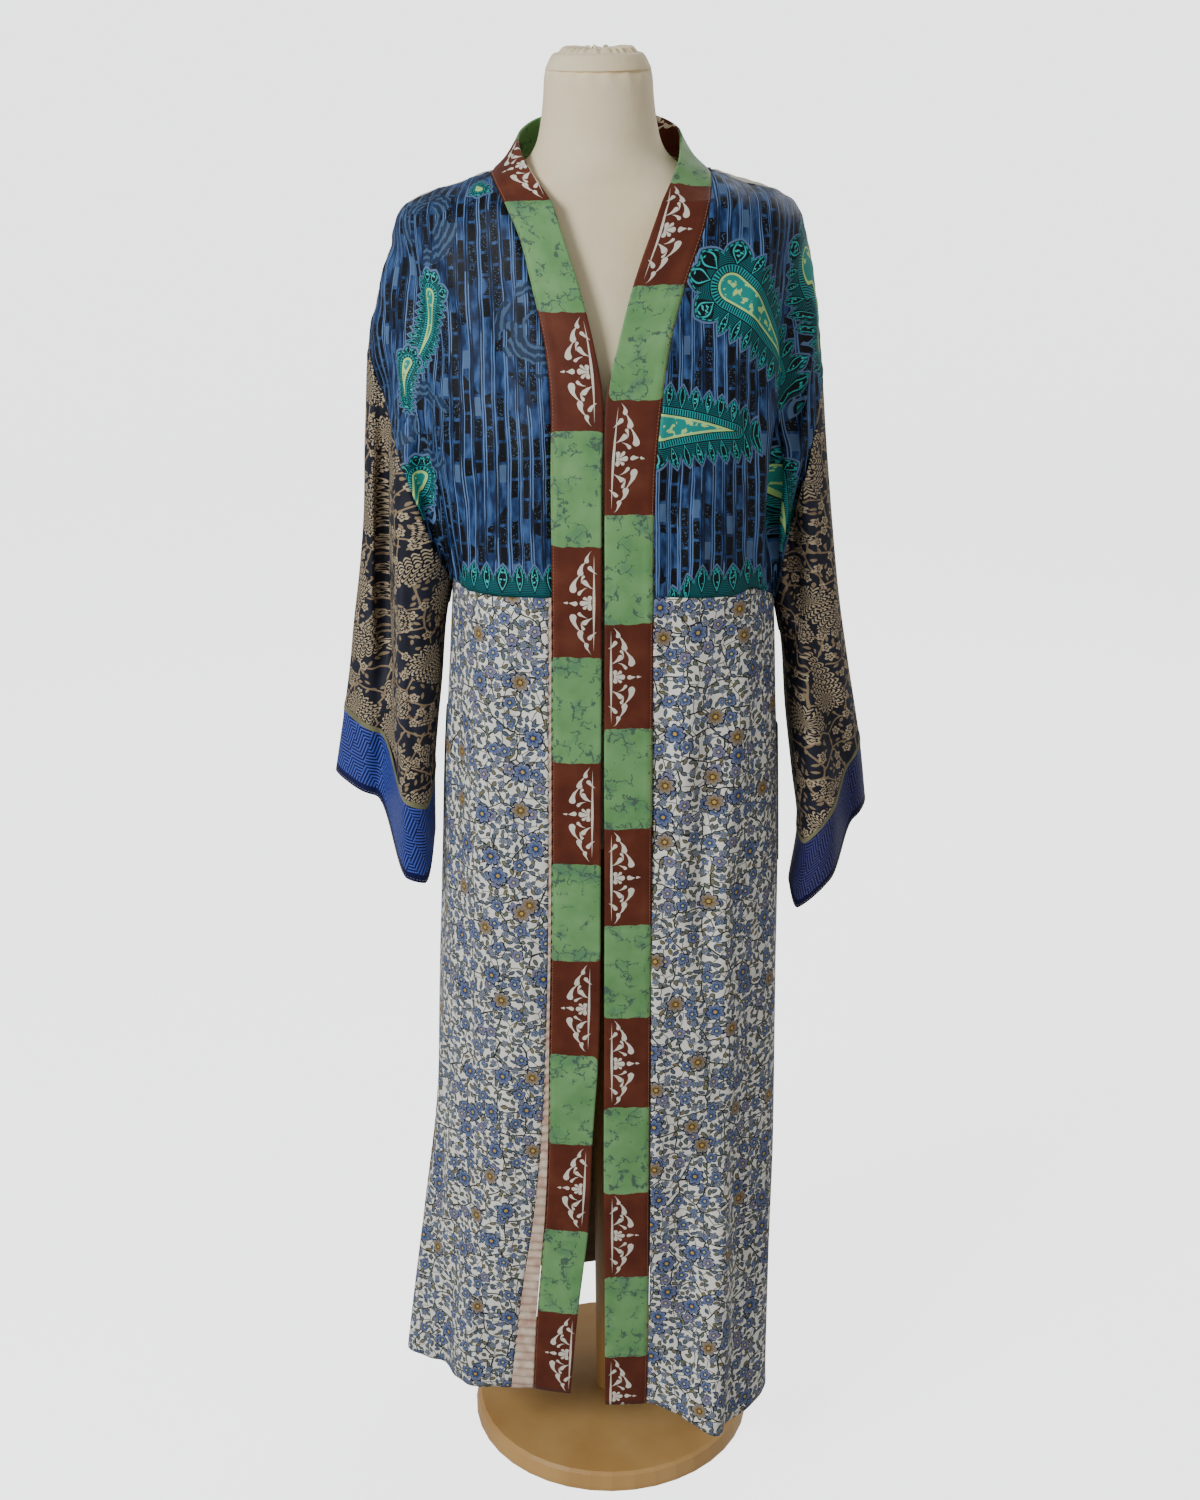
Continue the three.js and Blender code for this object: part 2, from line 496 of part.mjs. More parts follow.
// The stand: a round wooden base and a pole up to the form
const STAND = { baseRadius: 162, baseHeight: 22, edge: 5, poleRadius: 17, reach: 760 };
const baseProfile = [[0, 0], [1, 0], [1, STAND.edge], [0.985, STAND.baseHeight - 3], [0.96, STAND.baseHeight], [0, STAND.baseHeight]]
  .map(([share, z]) => new THREE.Vector2(share * STAND.baseRadius, z));
add('base', 'wood', new THREE.LatheGeometry(baseProfile, 40).rotateX(Math.PI / 2));
const poleHeight = STAND.reach - STAND.baseHeight - 2 * SEAM;
add('pole', 'wood', new THREE.CylinderGeometry(STAND.poleRadius, STAND.poleRadius, poleHeight, 28)
  .rotateX(Math.PI / 2).translate(0, 0, STAND.baseHeight + SEAM + poleHeight / 2));

export default kimono;
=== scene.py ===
# A patchwork kimono robe on a dress form with a wooden stand, dressed in its real cloths.
# Metres, +Z up, the front faces -Y, and +X is the wearer's left. Tables are in millimetres.
import math
from functools import partial

import bmesh
import bpy
import numpy as np
from mathutils import Matrix, Vector

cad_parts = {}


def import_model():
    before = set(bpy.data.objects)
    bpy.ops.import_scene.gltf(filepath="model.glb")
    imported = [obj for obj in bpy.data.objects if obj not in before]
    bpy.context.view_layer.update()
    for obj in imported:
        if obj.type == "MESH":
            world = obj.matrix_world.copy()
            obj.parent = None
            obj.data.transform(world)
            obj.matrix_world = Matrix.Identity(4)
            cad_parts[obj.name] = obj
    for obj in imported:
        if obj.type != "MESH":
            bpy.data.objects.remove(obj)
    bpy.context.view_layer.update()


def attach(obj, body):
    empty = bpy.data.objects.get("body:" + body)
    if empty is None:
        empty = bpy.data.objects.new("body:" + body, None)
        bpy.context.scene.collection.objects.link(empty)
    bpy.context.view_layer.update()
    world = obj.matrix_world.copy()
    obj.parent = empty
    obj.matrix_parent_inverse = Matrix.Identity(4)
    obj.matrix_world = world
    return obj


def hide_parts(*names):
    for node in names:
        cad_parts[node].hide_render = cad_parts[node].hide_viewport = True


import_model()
MM = 0.001


# Tables and smooth curves

class Table:
    """A short table: the first text names the columns, and each list is one row."""

    def __init__(self, columns, *rows):
        self.key = columns.split()[0]
        values = np.array(rows, float).T
        self.columns = dict(zip(columns.split(), values))
        self.rows = [dict(zip(columns.split(), row)) for row in rows]

    def read(self, column, at):
        """Smooth value of a column where the first column reaches a given value"""
        keys, values = self.columns[self.key], self.columns[column]
        at = np.asarray(at, float)
        last = len(keys) - 1
        i = np.clip(np.searchsorted(keys, at, side="left") - 1, 0, last - 1)

        def slope(a, b):
            return (values[b] - values[a]) / (keys[b] - keys[a])

        span = keys[i + 1] - keys[i]
        t = np.clip((at - keys[i]) / span, 0, 1)
        start = slope(np.maximum(i - 1, 0), i + 1) * span
        end = slope(i, np.minimum(i + 2, last)) * span
        a, b = values[i], values[i + 1]
        return a + t * start + t * t * (3 * (b - a) - 2 * start - end) + t ** 3 * (start + end - 2 * (b - a))


def bump(x, width):
    return np.exp(-((x / width) ** 2))


def ease(x, low, high):
    t = np.clip((x - low) / (high - low), 0, 1)
    return t * t * (3 - 2 * t)


def mix(a, b, t):
    return a + (b - a) * t


def xyz(x, y, z):
    return np.stack(np.broadcast_arrays(x, y, z), axis=-1).astype(float)


# The robe's surfaces, worked out as in the part's own source

BODY = Table("z half front back",
             [1011, 178, 142, 106], [1120, 184, 139, 106], [1190, 192, 136, 107], [1240, 198, 129, 108],
             [1300, 202, 115, 106], [1350, 203, 101, 102], [1377, 200, 93, 98], [1393, 193, 88, 94],
             [1405, 179, 82, 91], [1414, 158, 78, 89], [1421, 134, 75, 87], [1428, 108, 72, 85],
             [1440, 84, 68, 81], [1458, 66, 62, 74])
BANDS = {
    "left": Table("z edge seam",
                  [104, -7, 40], [250, -6, 43], [375, -6, 44], [560, -4, 45], [735, -2, 46], [885, -1, 47],
                  [1050, 1, 48], [1165, 2, 50], [1240, 4, 57], [1290, 16, 65], [1340, 30, 79],
                  [1383, 46, 95], [1411, 57, 103]),
    "right": Table("z edge seam",
                   [118, -46, -88], [218, -37, -82], [285, -29, -76], [350, -22, -70], [438, -18, -65],
                   [572, -9, -61], [733, -6, -56], [885, -4, -53], [1050, -2, -50], [1165, -1, -49],
                   [1240, 1, -48], [1290, -7, -53], [1340, -20, -64], [1383, -34, -75], [1411, -43, -88]),
}
COLLAR = Table("turn leftSeam rightSeam seamY seamZ leftTop rightTop topY topZ",
               [0, 103, -88, -63, 1411, 57, -43, -79, 1411], [1, 106, -100, -21, 1428, 73, -66, -38, 1440],
               [2, 104, -103, 22, 1431, 78, -77, 6, 1457], [3, 86, -85, 54, 1437, 76, -74, 46, 1468],
               [4, 48, -48, 74, 1443, 50, -50, 74, 1478], [5, 0, 0, 80, 1445, 0, 0, 83, 1482])
SKIRT = Table("z left right front back",
              [80, 172, -238, 141, 120], [262, 178, -214, 141, 116], [412, 184, -193, 141, 114],
              [667, 184, -176, 141, 111], [850, 180, -166, 141, 108], [960, 176, -157, 141, 107],
              [1052, 171, -150, 141, 106])
HEM = Table("turn left right backLeft backRight",
            [0, 104, 118, 112, 112], [0.5, 86, 121, 112, 115], [1, 110, 122, 110, 122])
WAIST_Z = {"middle": 1052, "left": 1014, "right": 1041}
NECK_Z, RIDGE_Y, SIDE_Y, ROUND, NECK_SHARE = 1411, 20, -8, 2.3, 0.185
SIGN = {"left": 1, "right": -1}


def ridge_y(z):
    return RIDGE_Y * ease(z, 1060, 1340)


def body_y(x, z, face):
    half = BODY.read("half", z)
    depth = BODY.read("front" if face < 0 else "back", z)
    reach = np.minimum(np.abs(x) / half, 1)
    return ridge_y(z) + (face * depth - ridge_y(z)) * (1 - reach ** ROUND) ** (1 / ROUND)


def ridge_z(x):
    low, high = 1377.0, 1440.0
    for _ in range(40):
        middle = (low + high) / 2
        if BODY.read("half", middle) > x:
            low = middle
        else:
            high = middle
    return low


def front_y(x, z):
    waist_z = WAIST_Z["middle"]
    scale = SKIRT.read("front", np.minimum(z, waist_z)) / SKIRT.rows[-1]["front"]
    return scale * body_y(x, np.maximum(z, waist_z), -1)


def hoop(body, face, turn, z):
    sine = np.maximum(np.sin(turn * np.pi / 2), 0) ** (2 / ROUND)
    cosine = np.maximum(np.cos(turn * np.pi / 2), 0) ** (2 / ROUND)
    seams = BANDS[body]
    seam = seams.read("seam", np.maximum(z, seams.rows[0]["z"])) if face < 0 else 0
    depth = front_y(seam, z) if face < 0 else SKIRT.read("back", z)
    return xyz(mix(seam, SKIRT.read(body, z), sine), SIDE_Y + (depth - SIDE_Y) * cosine, z)


def waist(body, face, turn):
    z = mix(WAIST_Z["middle"], WAIST_Z[body], turn ** 1.5)
    point = hoop(body, face, turn, z)
    if body == "left" and face < 0:
        point[..., 2] += 12 * bump(turn - 0.62, 0.2) * np.sin(np.pi * turn)
    return point


def body_line(body, face, top, turn, fall):
    foot = waist(body, face, np.float64(turn))
    slip = foot[1] - body_y(foot[0], foot[2], face)
    start = top[1] - body_y(top[0], top[2], face)

    def line(v):
        x, z = mix(top[0], foot[0], v ** 1.3), mix(top[2], foot[2], fall(v))
        return xyz(x, body_y(x, z, face) + slip * fall(v) + start * (1 - v) ** 4, z)
    return line


def collar(body, turn, out):
    join = np.maximum(1 - turn, 0)
    first = COLLAR.rows[0]
    edges = []
    for edge in ("seam", "top"):
        x = COLLAR.read(body + edge.title(), turn)
        y = COLLAR.read(edge + "Y", turn) + join * (front_y(x, NECK_Z) - first[edge + "Y"])
        edges.append(xyz(x, y, COLLAR.read(edge + "Z", turn)))
    return mix(edges[0], edges[1], np.asarray(out)[..., None])


def band_line(body):
    foot = waist(body, -1, np.float64(0))

    def line(v):
        v = np.asarray(v, float)
        z = mix(NECK_Z, foot[2], np.clip((v - NECK_SHARE) / (1 - NECK_SHARE), 0, 1) ** 1.15)
        x = BANDS[body].read("seam", z)
        low = xyz(x, front_y(x, z), z)
        high = collar(body, 2 - 2 * np.minimum(v / NECK_SHARE, 1), 0)
        return np.where((v < NECK_SHARE)[..., None], high, low)
    return line


SLEEVE_COLUMNS = "ox oy oz ix iy iz front back valley place share dip".split()
SLEEVES = {
    "left": {"yoke": [204, 18, 1352, 0, 0, 0, 44, 60, 0, 0.5, 1, 0],
             "armhole": [212, 14, 1300, 0, 0, 0, 50, 66, 8, 0.62, 1, 0],
             "drop seam": [218, 10, 1240, 0, 0, 0, 50, 62, 24, 0.6, 1, 0],
             "upper": [227, 6, 1142, 184, -6, 955, 54, 56, 22, 0.58, 1, 0],
             "elbow": [237, 3, 1040, 189, -14, 890, 58, 52, 14, 0.5, 0.9, 0],
             "lower": [252, 1, 946, 196, -26, 826, 56, 50, 12, 0.42, 0.8, 0],
             "cuff seam": [268, 0, 856, 202, -34, 766, 52, 48, 12, 0.36, 0.75, 12],
             "cuff end": [277, 0, 786, 194, -38, 704, 48, 46, 12, 0.34, 0.75, 26]},
    "right": {"yoke": [-204, 20, 1362, 0, 0, 0, 44, 60, 0, 0.5, 1, 0],
              "armhole": [-218, 30, 1316, 0, 0, 0, 58, 62, 10, 0.34, 0.9, 0],
              "drop seam": [-232, 40, 1262, 0, 0, 0, 76, 52, 22, 0.32, 0.7, 0],
              "upper": [-239, 42, 1180, -161, -8, 990, 80, 42, 24, 0.34, 0.5, 0],
              "elbow": [-246, 42, 1085, -167, -14, 930, 80, 36, 24, 0.38, 0.4, 4],
              "lower": [-260, 42, 980, -173, -22, 880, 76, 34, 22, 0.43, 0.35, 14],
              "cuff seam": [-277, 42, 880, -177, -28, 836, 70, 32, 20, 0.49, 0.3, 34],
              "cuff end": [-291, 42, 806, -179, -34, 766, 64, 30, 18, 0.5, 0.3, 50]},
}
FEET = Table("station turn top front back",
             [0, 5, 0, 0, 0], [1, 4, 0, 0, 0.13], [2, 3, 0, 0, 0.24], [3, 2, 0, 0, 0.33],
             [4, 0, 130, 0.2, 0.45], [5, 0, 153, 0.38, 0.56], [6, 0, 174, 0.56, 0.67],
             [7, 0, 192, 0.74, 0.79], [8, 0, 0, 0.88, 0.89], [9, 0, 0, 0.95, 0.95], [10, 0, 0, 1, 1])
BAND_AT, RIDGE_AT, SLEEVE_AT, DROP_SEAM, CUFF_SEAM, CUFF_END = 3, 4, 8, 10, 14, 15


def sleeve_line(body, station):
    row = dict(zip(SLEEVE_COLUMNS, list(SLEEVES[body].values())[station - SLEEVE_AT]))

    def foot(face):
        if station > DROP_SEAM:
            return np.array([row["ix"], row["iy"], row["iz"]], float)
        return waist(body, face, np.float64(FEET.rows[station]["front" if face < 0 else "back"]))
    feet = {-1: foot(-1), 1: foot(1)}

    def line(v):
        v = np.asarray(v, float)
        face = np.where(v > 0, -1, 1)
        front = face < 0
        a = np.minimum(np.abs(v), 1)
        lobe = np.sin(np.pi * a) ** 0.85 if np.all(a < 1) else np.maximum(np.sin(np.pi * a), 0) ** 0.85
        after = np.where(front, ease(a, row["place"] - 0.06, row["place"] + 0.16), 1)
        depth = np.where(front, row["front"], row["back"]) * lobe * mix(row["share"], 1, after)
        valley = row["valley"] * bump(a - row["place"], 0.1) * np.where(front, 1, 0.35)
        outer = np.array([row["ox"], row["oy"], row["oz"]], float)
        inner = np.where(front[..., None], feet[-1], feet[1])
        point = mix(outer, inner, ((1 - np.cos(np.pi * a)) / 2)[..., None])
        point[..., 1] += face * (depth - valley)
        point[..., 2] -= np.where(front, row["dip"] * after * (1 - ease(a, 0.8, 1)), 0)
        return point
    return line


def station_line(body, station):
    if station >= SLEEVE_AT:
        return sleeve_line(body, station)
    row = FEET.rows[station]
    if station < RIDGE_AT:
        crest = collar(body, np.float64(row["turn"]), 0)
    else:
        crest = np.array([SIGN[body] * row["top"], RIDGE_Y, ridge_z(row["top"])], float)
    fall = (lambda v: v) if station < BAND_AT else (lambda v: v * v * (1.6 - 0.6 * v))
    behind = body_line(body, 1, crest, row["back"], fall)
    before = body_line(body, -1, crest, row["front"], fall)
    if station == BAND_AT:
        before = band_line(body)
    if station < BAND_AT:
        edge, after = station_line(body, BAND_AT), station_line(body, RIDGE_AT)

        def before(v):
            beyond = 2 * edge(v) - after(v)
            return mix(crest, beyond, ease(v, 0, NECK_SHARE)[..., None])

    def line(v):
        v = np.asarray(v, float)
        return np.where((v < 0)[..., None], behind(np.abs(v)), before(np.abs(v)))
    return line


LINES = [station_line("right" if k < 0 else "left", abs(k)) for k in range(-CUFF_END, CUFF_END + 1)]


def cloth(us, vs):
    """Grid of points on the upper part and sleeves: one row for each u, one column for each v"""
    vs = np.atleast_1d(np.asarray(vs, float))
    edge = np.clip(vs, -1, 1)
    inside = np.array([line(edge) for line in LINES])
    mirrored = np.array([line(2 * edge - vs) for line in LINES])
    wrapped = np.array([line(np.where(edge == vs, vs, vs - 2 * edge)) for line in LINES])
    open_end = np.where((edge == vs)[None, :, None], inside, 2 * inside - mirrored)
    rows = []
    for u in np.atleast_1d(np.asarray(us, float)):
        lines = wrapped if abs(u) > DROP_SEAM - 0.002 else open_end
        place = min(max(u + CUFF_END, -0.5), 2 * CUFF_END + 0.5)
        i = min(max(int(math.floor(place)), 0), len(LINES) - 2)
        t = place - i
        b, c = lines[i], lines[i + 1]
        a = lines[i - 1] if i > 0 else 2 * b - c
        d = lines[i + 2] if i + 2 < len(LINES) else 2 * c - b
        rows.append(((-t + 2 * t * t - t ** 3) * a + (2 - 5 * t * t + 3 * t ** 3) * b
                     + (t + 4 * t * t - 3 * t ** 3) * c + (t ** 3 - t * t) * d) / 2)
    return np.array(rows)


FOLDS = {
    "left": [(0.3, 0.09, 10, 900), (0.52, 0.09, -14, 700), (0.76, 0.08, 14, 840)],
    "right": [(0.28, 0.08, 8, 880), (0.52, 0.1, -12, 800), (0.78, 0.08, 10, 700)],
    "back": [(0.14, 0.07, -10, 900), (0.34, 0.08, 12, 760), (0.56, 0.08, -12, 880), (0.78, 0.07, 10, 700)],
}
FLARE_REACH, FLARE_START = 56, 420


PLACES = np.linspace(-CUFF_END, CUFF_END, 3001)
SEAM_LINES = dict(zip((-1, 0, 1), np.moveaxis(cloth(PLACES, [-1, 0, 1]), 1, 0)))


def seam_line(v, u):
    """Points on a seam of the upper part: the back waist (-1), the ridge or neck (0), the front waist (1)"""
    return np.stack([np.interp(u, PLACES, SEAM_LINES[v][:, k]) for k in range(3)], axis=-1)


def skirt(face, u, drop):
    """Points on the skirt below the waist seam: u is the station and drop is 1 at the hem"""
    u, drop = np.broadcast_arrays(np.asarray(u, float), np.asarray(drop, float))
    station = np.abs(u)
    beyond = station > DROP_SEAM
    if beyond.any():
        turned = np.sign(u) * (2 * DROP_SEAM - station)
        other = skirt(-face, np.where(beyond, turned, u), drop)
        return np.where(beyond[..., None], other, skirt(face, np.where(beyond, turned, u), drop))
    total = 0
    for body in SIGN:
        top = seam_line(1 if face < 0 else -1, u)
        turn = FEET.read("front" if face < 0 else "back", station)
        hem = HEM.read(body if face < 0 else "back" + body.title(), turn)
        point = hoop(body, face, turn, mix(top[..., 2], hem, drop))
        point += (top - hoop(body, face, turn, top[..., 2])) * (np.maximum(1 - drop, 0) ** 3)[..., None]

        def grow(begin):
            return np.clip((begin - point[..., 2]) / (begin - hem), 0, 1) ** 1.4
        out = xyz(turn * SIGN[body], face * (1.1 - turn), 0)
        out /= np.linalg.norm(out, axis=-1, keepdims=True)
        flare = FLARE_REACH * grow(FLARE_START) * np.maximum(np.sin(np.pi * turn), 0) ** 1.5
        push = sum(depth * grow(begin) * bump(turn - place, width)
                   for place, width, depth, begin in FOLDS[body if face < 0 else "back"])
        point = point + push[..., None] * out
        if body == "left" and face < 0:
            point[..., 1] -= flare
        total = total + np.where((u >= 0 if body == "left" else u < 0)[..., None], point, 0)
    return total


def skirt_piece(face, place):
    """Rows and columns of a skirt piece: place gives the station from the row and the drop"""
    def grid(ps, drops):
        ps, drops = np.asarray(ps)[:, None], np.asarray(drops)[None]
        return skirt(face, place(ps, drops), drops)
    return grid


def band(body):
    """The neck band: s goes from the hem (0) over the neck (1) to the back's middle (2)"""
    rows = BANDS[body]
    hem = rows.rows[0]["z"]

    def row(s, outs):
        if s > 2:
            other = "left" if body == "right" else "right"
            return band(other)([4 - s], outs)[0]
        if s > 1:
            turn = 5 * (s - 1)
            low, top = collar(body, turn, np.float64(0)), collar(body, turn, np.float64(1))
            if turn > 2:
                low = seam_line(0, SIGN[body] * (5 - turn))
            return mix(low, top, outs[:, None])
        z = mix(hem, NECK_Z, s)
        x = mix(rows.read("seam", z), rows.read("edge", z), outs)
        return xyz(x, front_y(x, z), z)
    return lambda ss, outs: np.array([row(s, np.asarray(outs, float)) for s in ss])


# Cloth relief: soft creases, ripples and sewn edges, all in millimetres

CREASE_DEPTH = 1.45
# A sewn edge sinks at its seam and swells a little beside it: each is a depth, its place and its width
SEAM_DIP, SEAM_SWELL = (-0.9, 0.0, 2.2), (0.35, 6.0, 3.0)


def crease(p, n, marks, face):
    """Soft troughs (depth below 0) and ridges, each from one place to another seen from a side"""
    sign = {"front": -1, "back": 1}[face]
    facing = np.maximum(sign * n[..., 1], 0)
    total = np.zeros(p.shape[:2])
    for a0, z0, a1, z1, width, depth in marks:
        da, dz = a1 - a0, z1 - z0
        length = math.hypot(da, dz)
        along = ((p[..., 0] - a0) * da + (p[..., 2] - z0) * dz) / length ** 2
        side = ((p[..., 0] - a0) * dz - (p[..., 2] - z0) * da) / length
        bow = side - 0.04 * length * np.sin(np.pi * np.clip(along, 0, 1))
        rise, fade = ease(along, -0.12, 0.3), 1 - ease(along, 0.7, 1.12)
        total += CREASE_DEPTH * depth * bump(bow, width) * rise * fade
    return total * facing ** 0.5


def ripples(u, v, seed, size, height, stretch=4.0, count=7):
    """Slow uneven waves of hanging silk, longer down the cloth than across it"""
    rng = np.random.default_rng(seed)
    total = np.zeros(u.shape)
    for _ in range(count):
        angle = rng.normal(0, 0.28)
        wave = size * rng.uniform(0.6, 1.9)
        phase = rng.uniform(0, 2 * np.pi)
        turns = u * np.cos(angle) / wave + v * np.sin(angle + 0.15) / (wave * stretch)
        total += np.sin(2 * np.pi * turns + phase)
    return height * total / count ** 0.5


def puckers(along, distance, pitch, height, reach, seed):
    """Small gathers beside a row of stitches or a hem"""
    rng = np.random.default_rng(seed)
    wobble = sum(np.sin(along / (pitch * share) + rng.uniform(0, 6)) for share in (3.1, 5.7))
    return height * np.sin(2 * np.pi * along / pitch + 1.3 * wobble) * np.exp(-distance / reach)


def hanging(p, n, start):
    """Flat coordinates of hung cloth, measured across and down its fall so that a print keeps its shape"""
    pull = np.zeros(p.shape)
    pull[..., 2] = -1
    if start != "sleeve":
        pull[..., 1] = (-1.5 if "front" in start else 1.5) * np.maximum(n[..., 2], 0)
    fall = pull - n * (pull * n).sum(-1, keepdims=True)
    fall /= np.linalg.norm(fall, axis=-1, keepdims=True)
    across = np.cross(n, fall)

    def run(axis, way):
        ways = (np.delete(way, 0, axis) + np.delete(way, -1, axis)) / 2
        total = np.cumsum((np.diff(p, axis=axis) * ways).sum(-1), axis=axis)
        return np.concatenate([np.zeros_like(np.take(total, [0], axis)), total], axis)
    k = p.shape[1] // 2
    rows = {"across": run(0, across), "fall": run(0, fall)}
    columns = {"across": run(1, across), "fall": run(1, fall)}
    x, y = (rows[key][:, k:k + 1] + columns[key] - columns[key][:, k:k + 1] for key in rows)
    if "skirt" in start:
        x = columns["across"][:1] - columns["across"][:1, k:k + 1] + rows["across"]
    if "front" in start:
        x = x + p[0, k, 0]
    if "back" in start:
        x = x - x[len(x) // 2]
    return x, y


SHELLS = {}


def shell(name, surface, us, vs, side, thick=1.2, relief=None, ring=False, edges="", lift=0.0, start=""):
    """A thin closed piece of cloth with its flat coordinates in millimetres in the UV map"""
    tiny = 1e-3
    p = surface(us, vs)
    du = surface(us + tiny, vs) - surface(us - tiny, vs)
    dv = surface(us, vs + tiny) - surface(us, vs - tiny)
    n = np.cross(du, dv)
    n *= side / np.maximum(np.linalg.norm(n, axis=-1, keepdims=True), 1e-12)
    step_u = np.linalg.norm(np.diff(p, axis=0), axis=-1)
    step_v = np.linalg.norm(np.diff(p, axis=1), axis=-1)
    u = np.concatenate([np.zeros((1, len(vs))), np.cumsum(step_u, axis=0)])
    v = np.concatenate([np.zeros((len(us), 1)), np.cumsum(step_v, axis=1)], axis=1)
    height = np.full(u.shape, lift)
    ends = {"u0": np.abs(u - u[:1]), "u1": np.abs(u[-1:] - u), "v0": v, "v1": v[:, -1:] - v}
    for edge in [edges[k:k + 2] for k in range(0, len(edges), 2)]:
        height += sum(deep * bump(ends[edge] - at, wide) for deep, at, wide in (SEAM_DIP, SEAM_SWELL))
    if relief:
        height += relief(p, n, u, v, ends)
    if ring:
        height[:, -1] = height[:, 0]
    if start:
        u, v = hanging(p, n, start)
    outer = p + n * height[..., None]
    inner = p + n * (height - thick)[..., None]
    return build(name, outer, inner, u, v, ring, {"n": n, **ends})


def new_piece(name, points=(), sides=(), work=None):
    """A smoothly shaded object at the origin, from its points and sides or from an edited mesh"""
    mesh = bpy.data.meshes.new(name)
    if work:
        work.to_mesh(mesh)
        work.free()
    else:
        mesh.from_pydata(points, [], sides)
    mesh.polygons.foreach_set("use_smooth", [True] * len(mesh.polygons))
    mesh.update()
    piece = bpy.data.objects.new(name, mesh)
    bpy.context.scene.collection.objects.link(piece)
    return piece


def build(name, outer, inner, u, v, ring, ends):
    """Joins the right side and the wrong side of a piece of cloth along its rims"""
    nu, nv = outer.shape[:2]
    cols = nv - 1 if ring else nv
    points = np.concatenate([outer[:, :cols].reshape(-1, 3), inner[:, :cols].reshape(-1, 3)]) * MM
    i, j = np.meshgrid(np.arange(nu - 1), np.arange(nv - 1), indexing="ij")
    jn = (j + 1) % cols if ring else j + 1
    a, b, c, d = i * cols + j, (i + 1) * cols + j, (i + 1) * cols + jn, i * cols + jn
    faces = np.stack([a, b, c, d], -1).reshape(-1, 4)
    corner = np.stack([i * nv + j, (i + 1) * nv + j, (i + 1) * nv + j + 1, i * nv + j + 1], -1).reshape(-1, 4)
    layer = nu * cols
    loops = [faces, faces[:, ::-1] + layer]
    corners = [corner, corner[:, ::-1]]
    ji = np.arange(nv - 1)
    jj = (ji + 1) % cols if ring else ji + 1
    for row, turn in ((0, 1), (nu - 1, -1)):
        rim = np.stack([row * cols + ji, row * cols + jj, row * cols + jj + layer,
                        row * cols + ji + layer], -1)
        loops.append(rim[:, ::turn])
        at = np.stack([row * nv + ji, row * nv + ji + 1, row * nv + ji + 1, row * nv + ji], -1)
        corners.append(at[:, ::turn])
    if not ring:
        ii = np.arange(nu - 1)
        for col, turn in ((0, 1), (nv - 1, -1)):
            rim = np.stack([ii * cols + col, ii * cols + col + layer, (ii + 1) * cols + col + layer,
                            (ii + 1) * cols + col], -1)
            loops.append(rim[:, ::turn])
            at = np.stack([ii * nv + col, ii * nv + col, (ii + 1) * nv + col, (ii + 1) * nv + col], -1)
            corners.append(at[:, ::turn])
    loops, corners = np.concatenate(loops), np.concatenate(corners)
    first = faces[len(faces) // 2]
    normal = np.cross(points[first[1]] - points[first[0]], points[first[3]] - points[first[0]])
    out = (outer - inner).reshape(-1, 3)[corner[len(faces) // 2][0]]
    if np.dot(normal, out) < 0:
        loops, corners = loops[:, ::-1], corners[:, ::-1]
    piece = new_piece(name, points.tolist(), loops.tolist())
    mesh = piece.data
    for title, pair in (("cloth_mm", (u, v)), ("edge_mm", (ends["v1"], ends["u1"]))):
        flat = np.stack([part.reshape(-1)[corners.reshape(-1)] for part in pair], -1)
        mesh.uv_layers.new(name=title).data.foreach_set("uv", flat.astype(np.float32).reshape(-1))
    wrong_side = [len(faces) <= k < 2 * len(faces) for k in range(len(mesh.polygons))]
    mesh.polygons.foreach_set("material_index", np.array(wrong_side, np.int32))
    mesh.update()
    SHELLS[name] = {"p": outer, "u": u, "v": v, "wide": float(ends["v0"][:, -1].mean()), **ends}
    return piece


def flat_place(name, x, z):
    """Flat coordinates of the place on a piece that lies at x and z, seen from the front"""
    grid = SHELLS[name]
    p = grid["p"]
    away = (p[..., 0] - x) ** 2 + (p[..., 2] - z) ** 2
    i, j = np.unravel_index(np.argmin(away), away.shape)
    return float(grid["u"][i, j]), float(grid["v"][i, j])


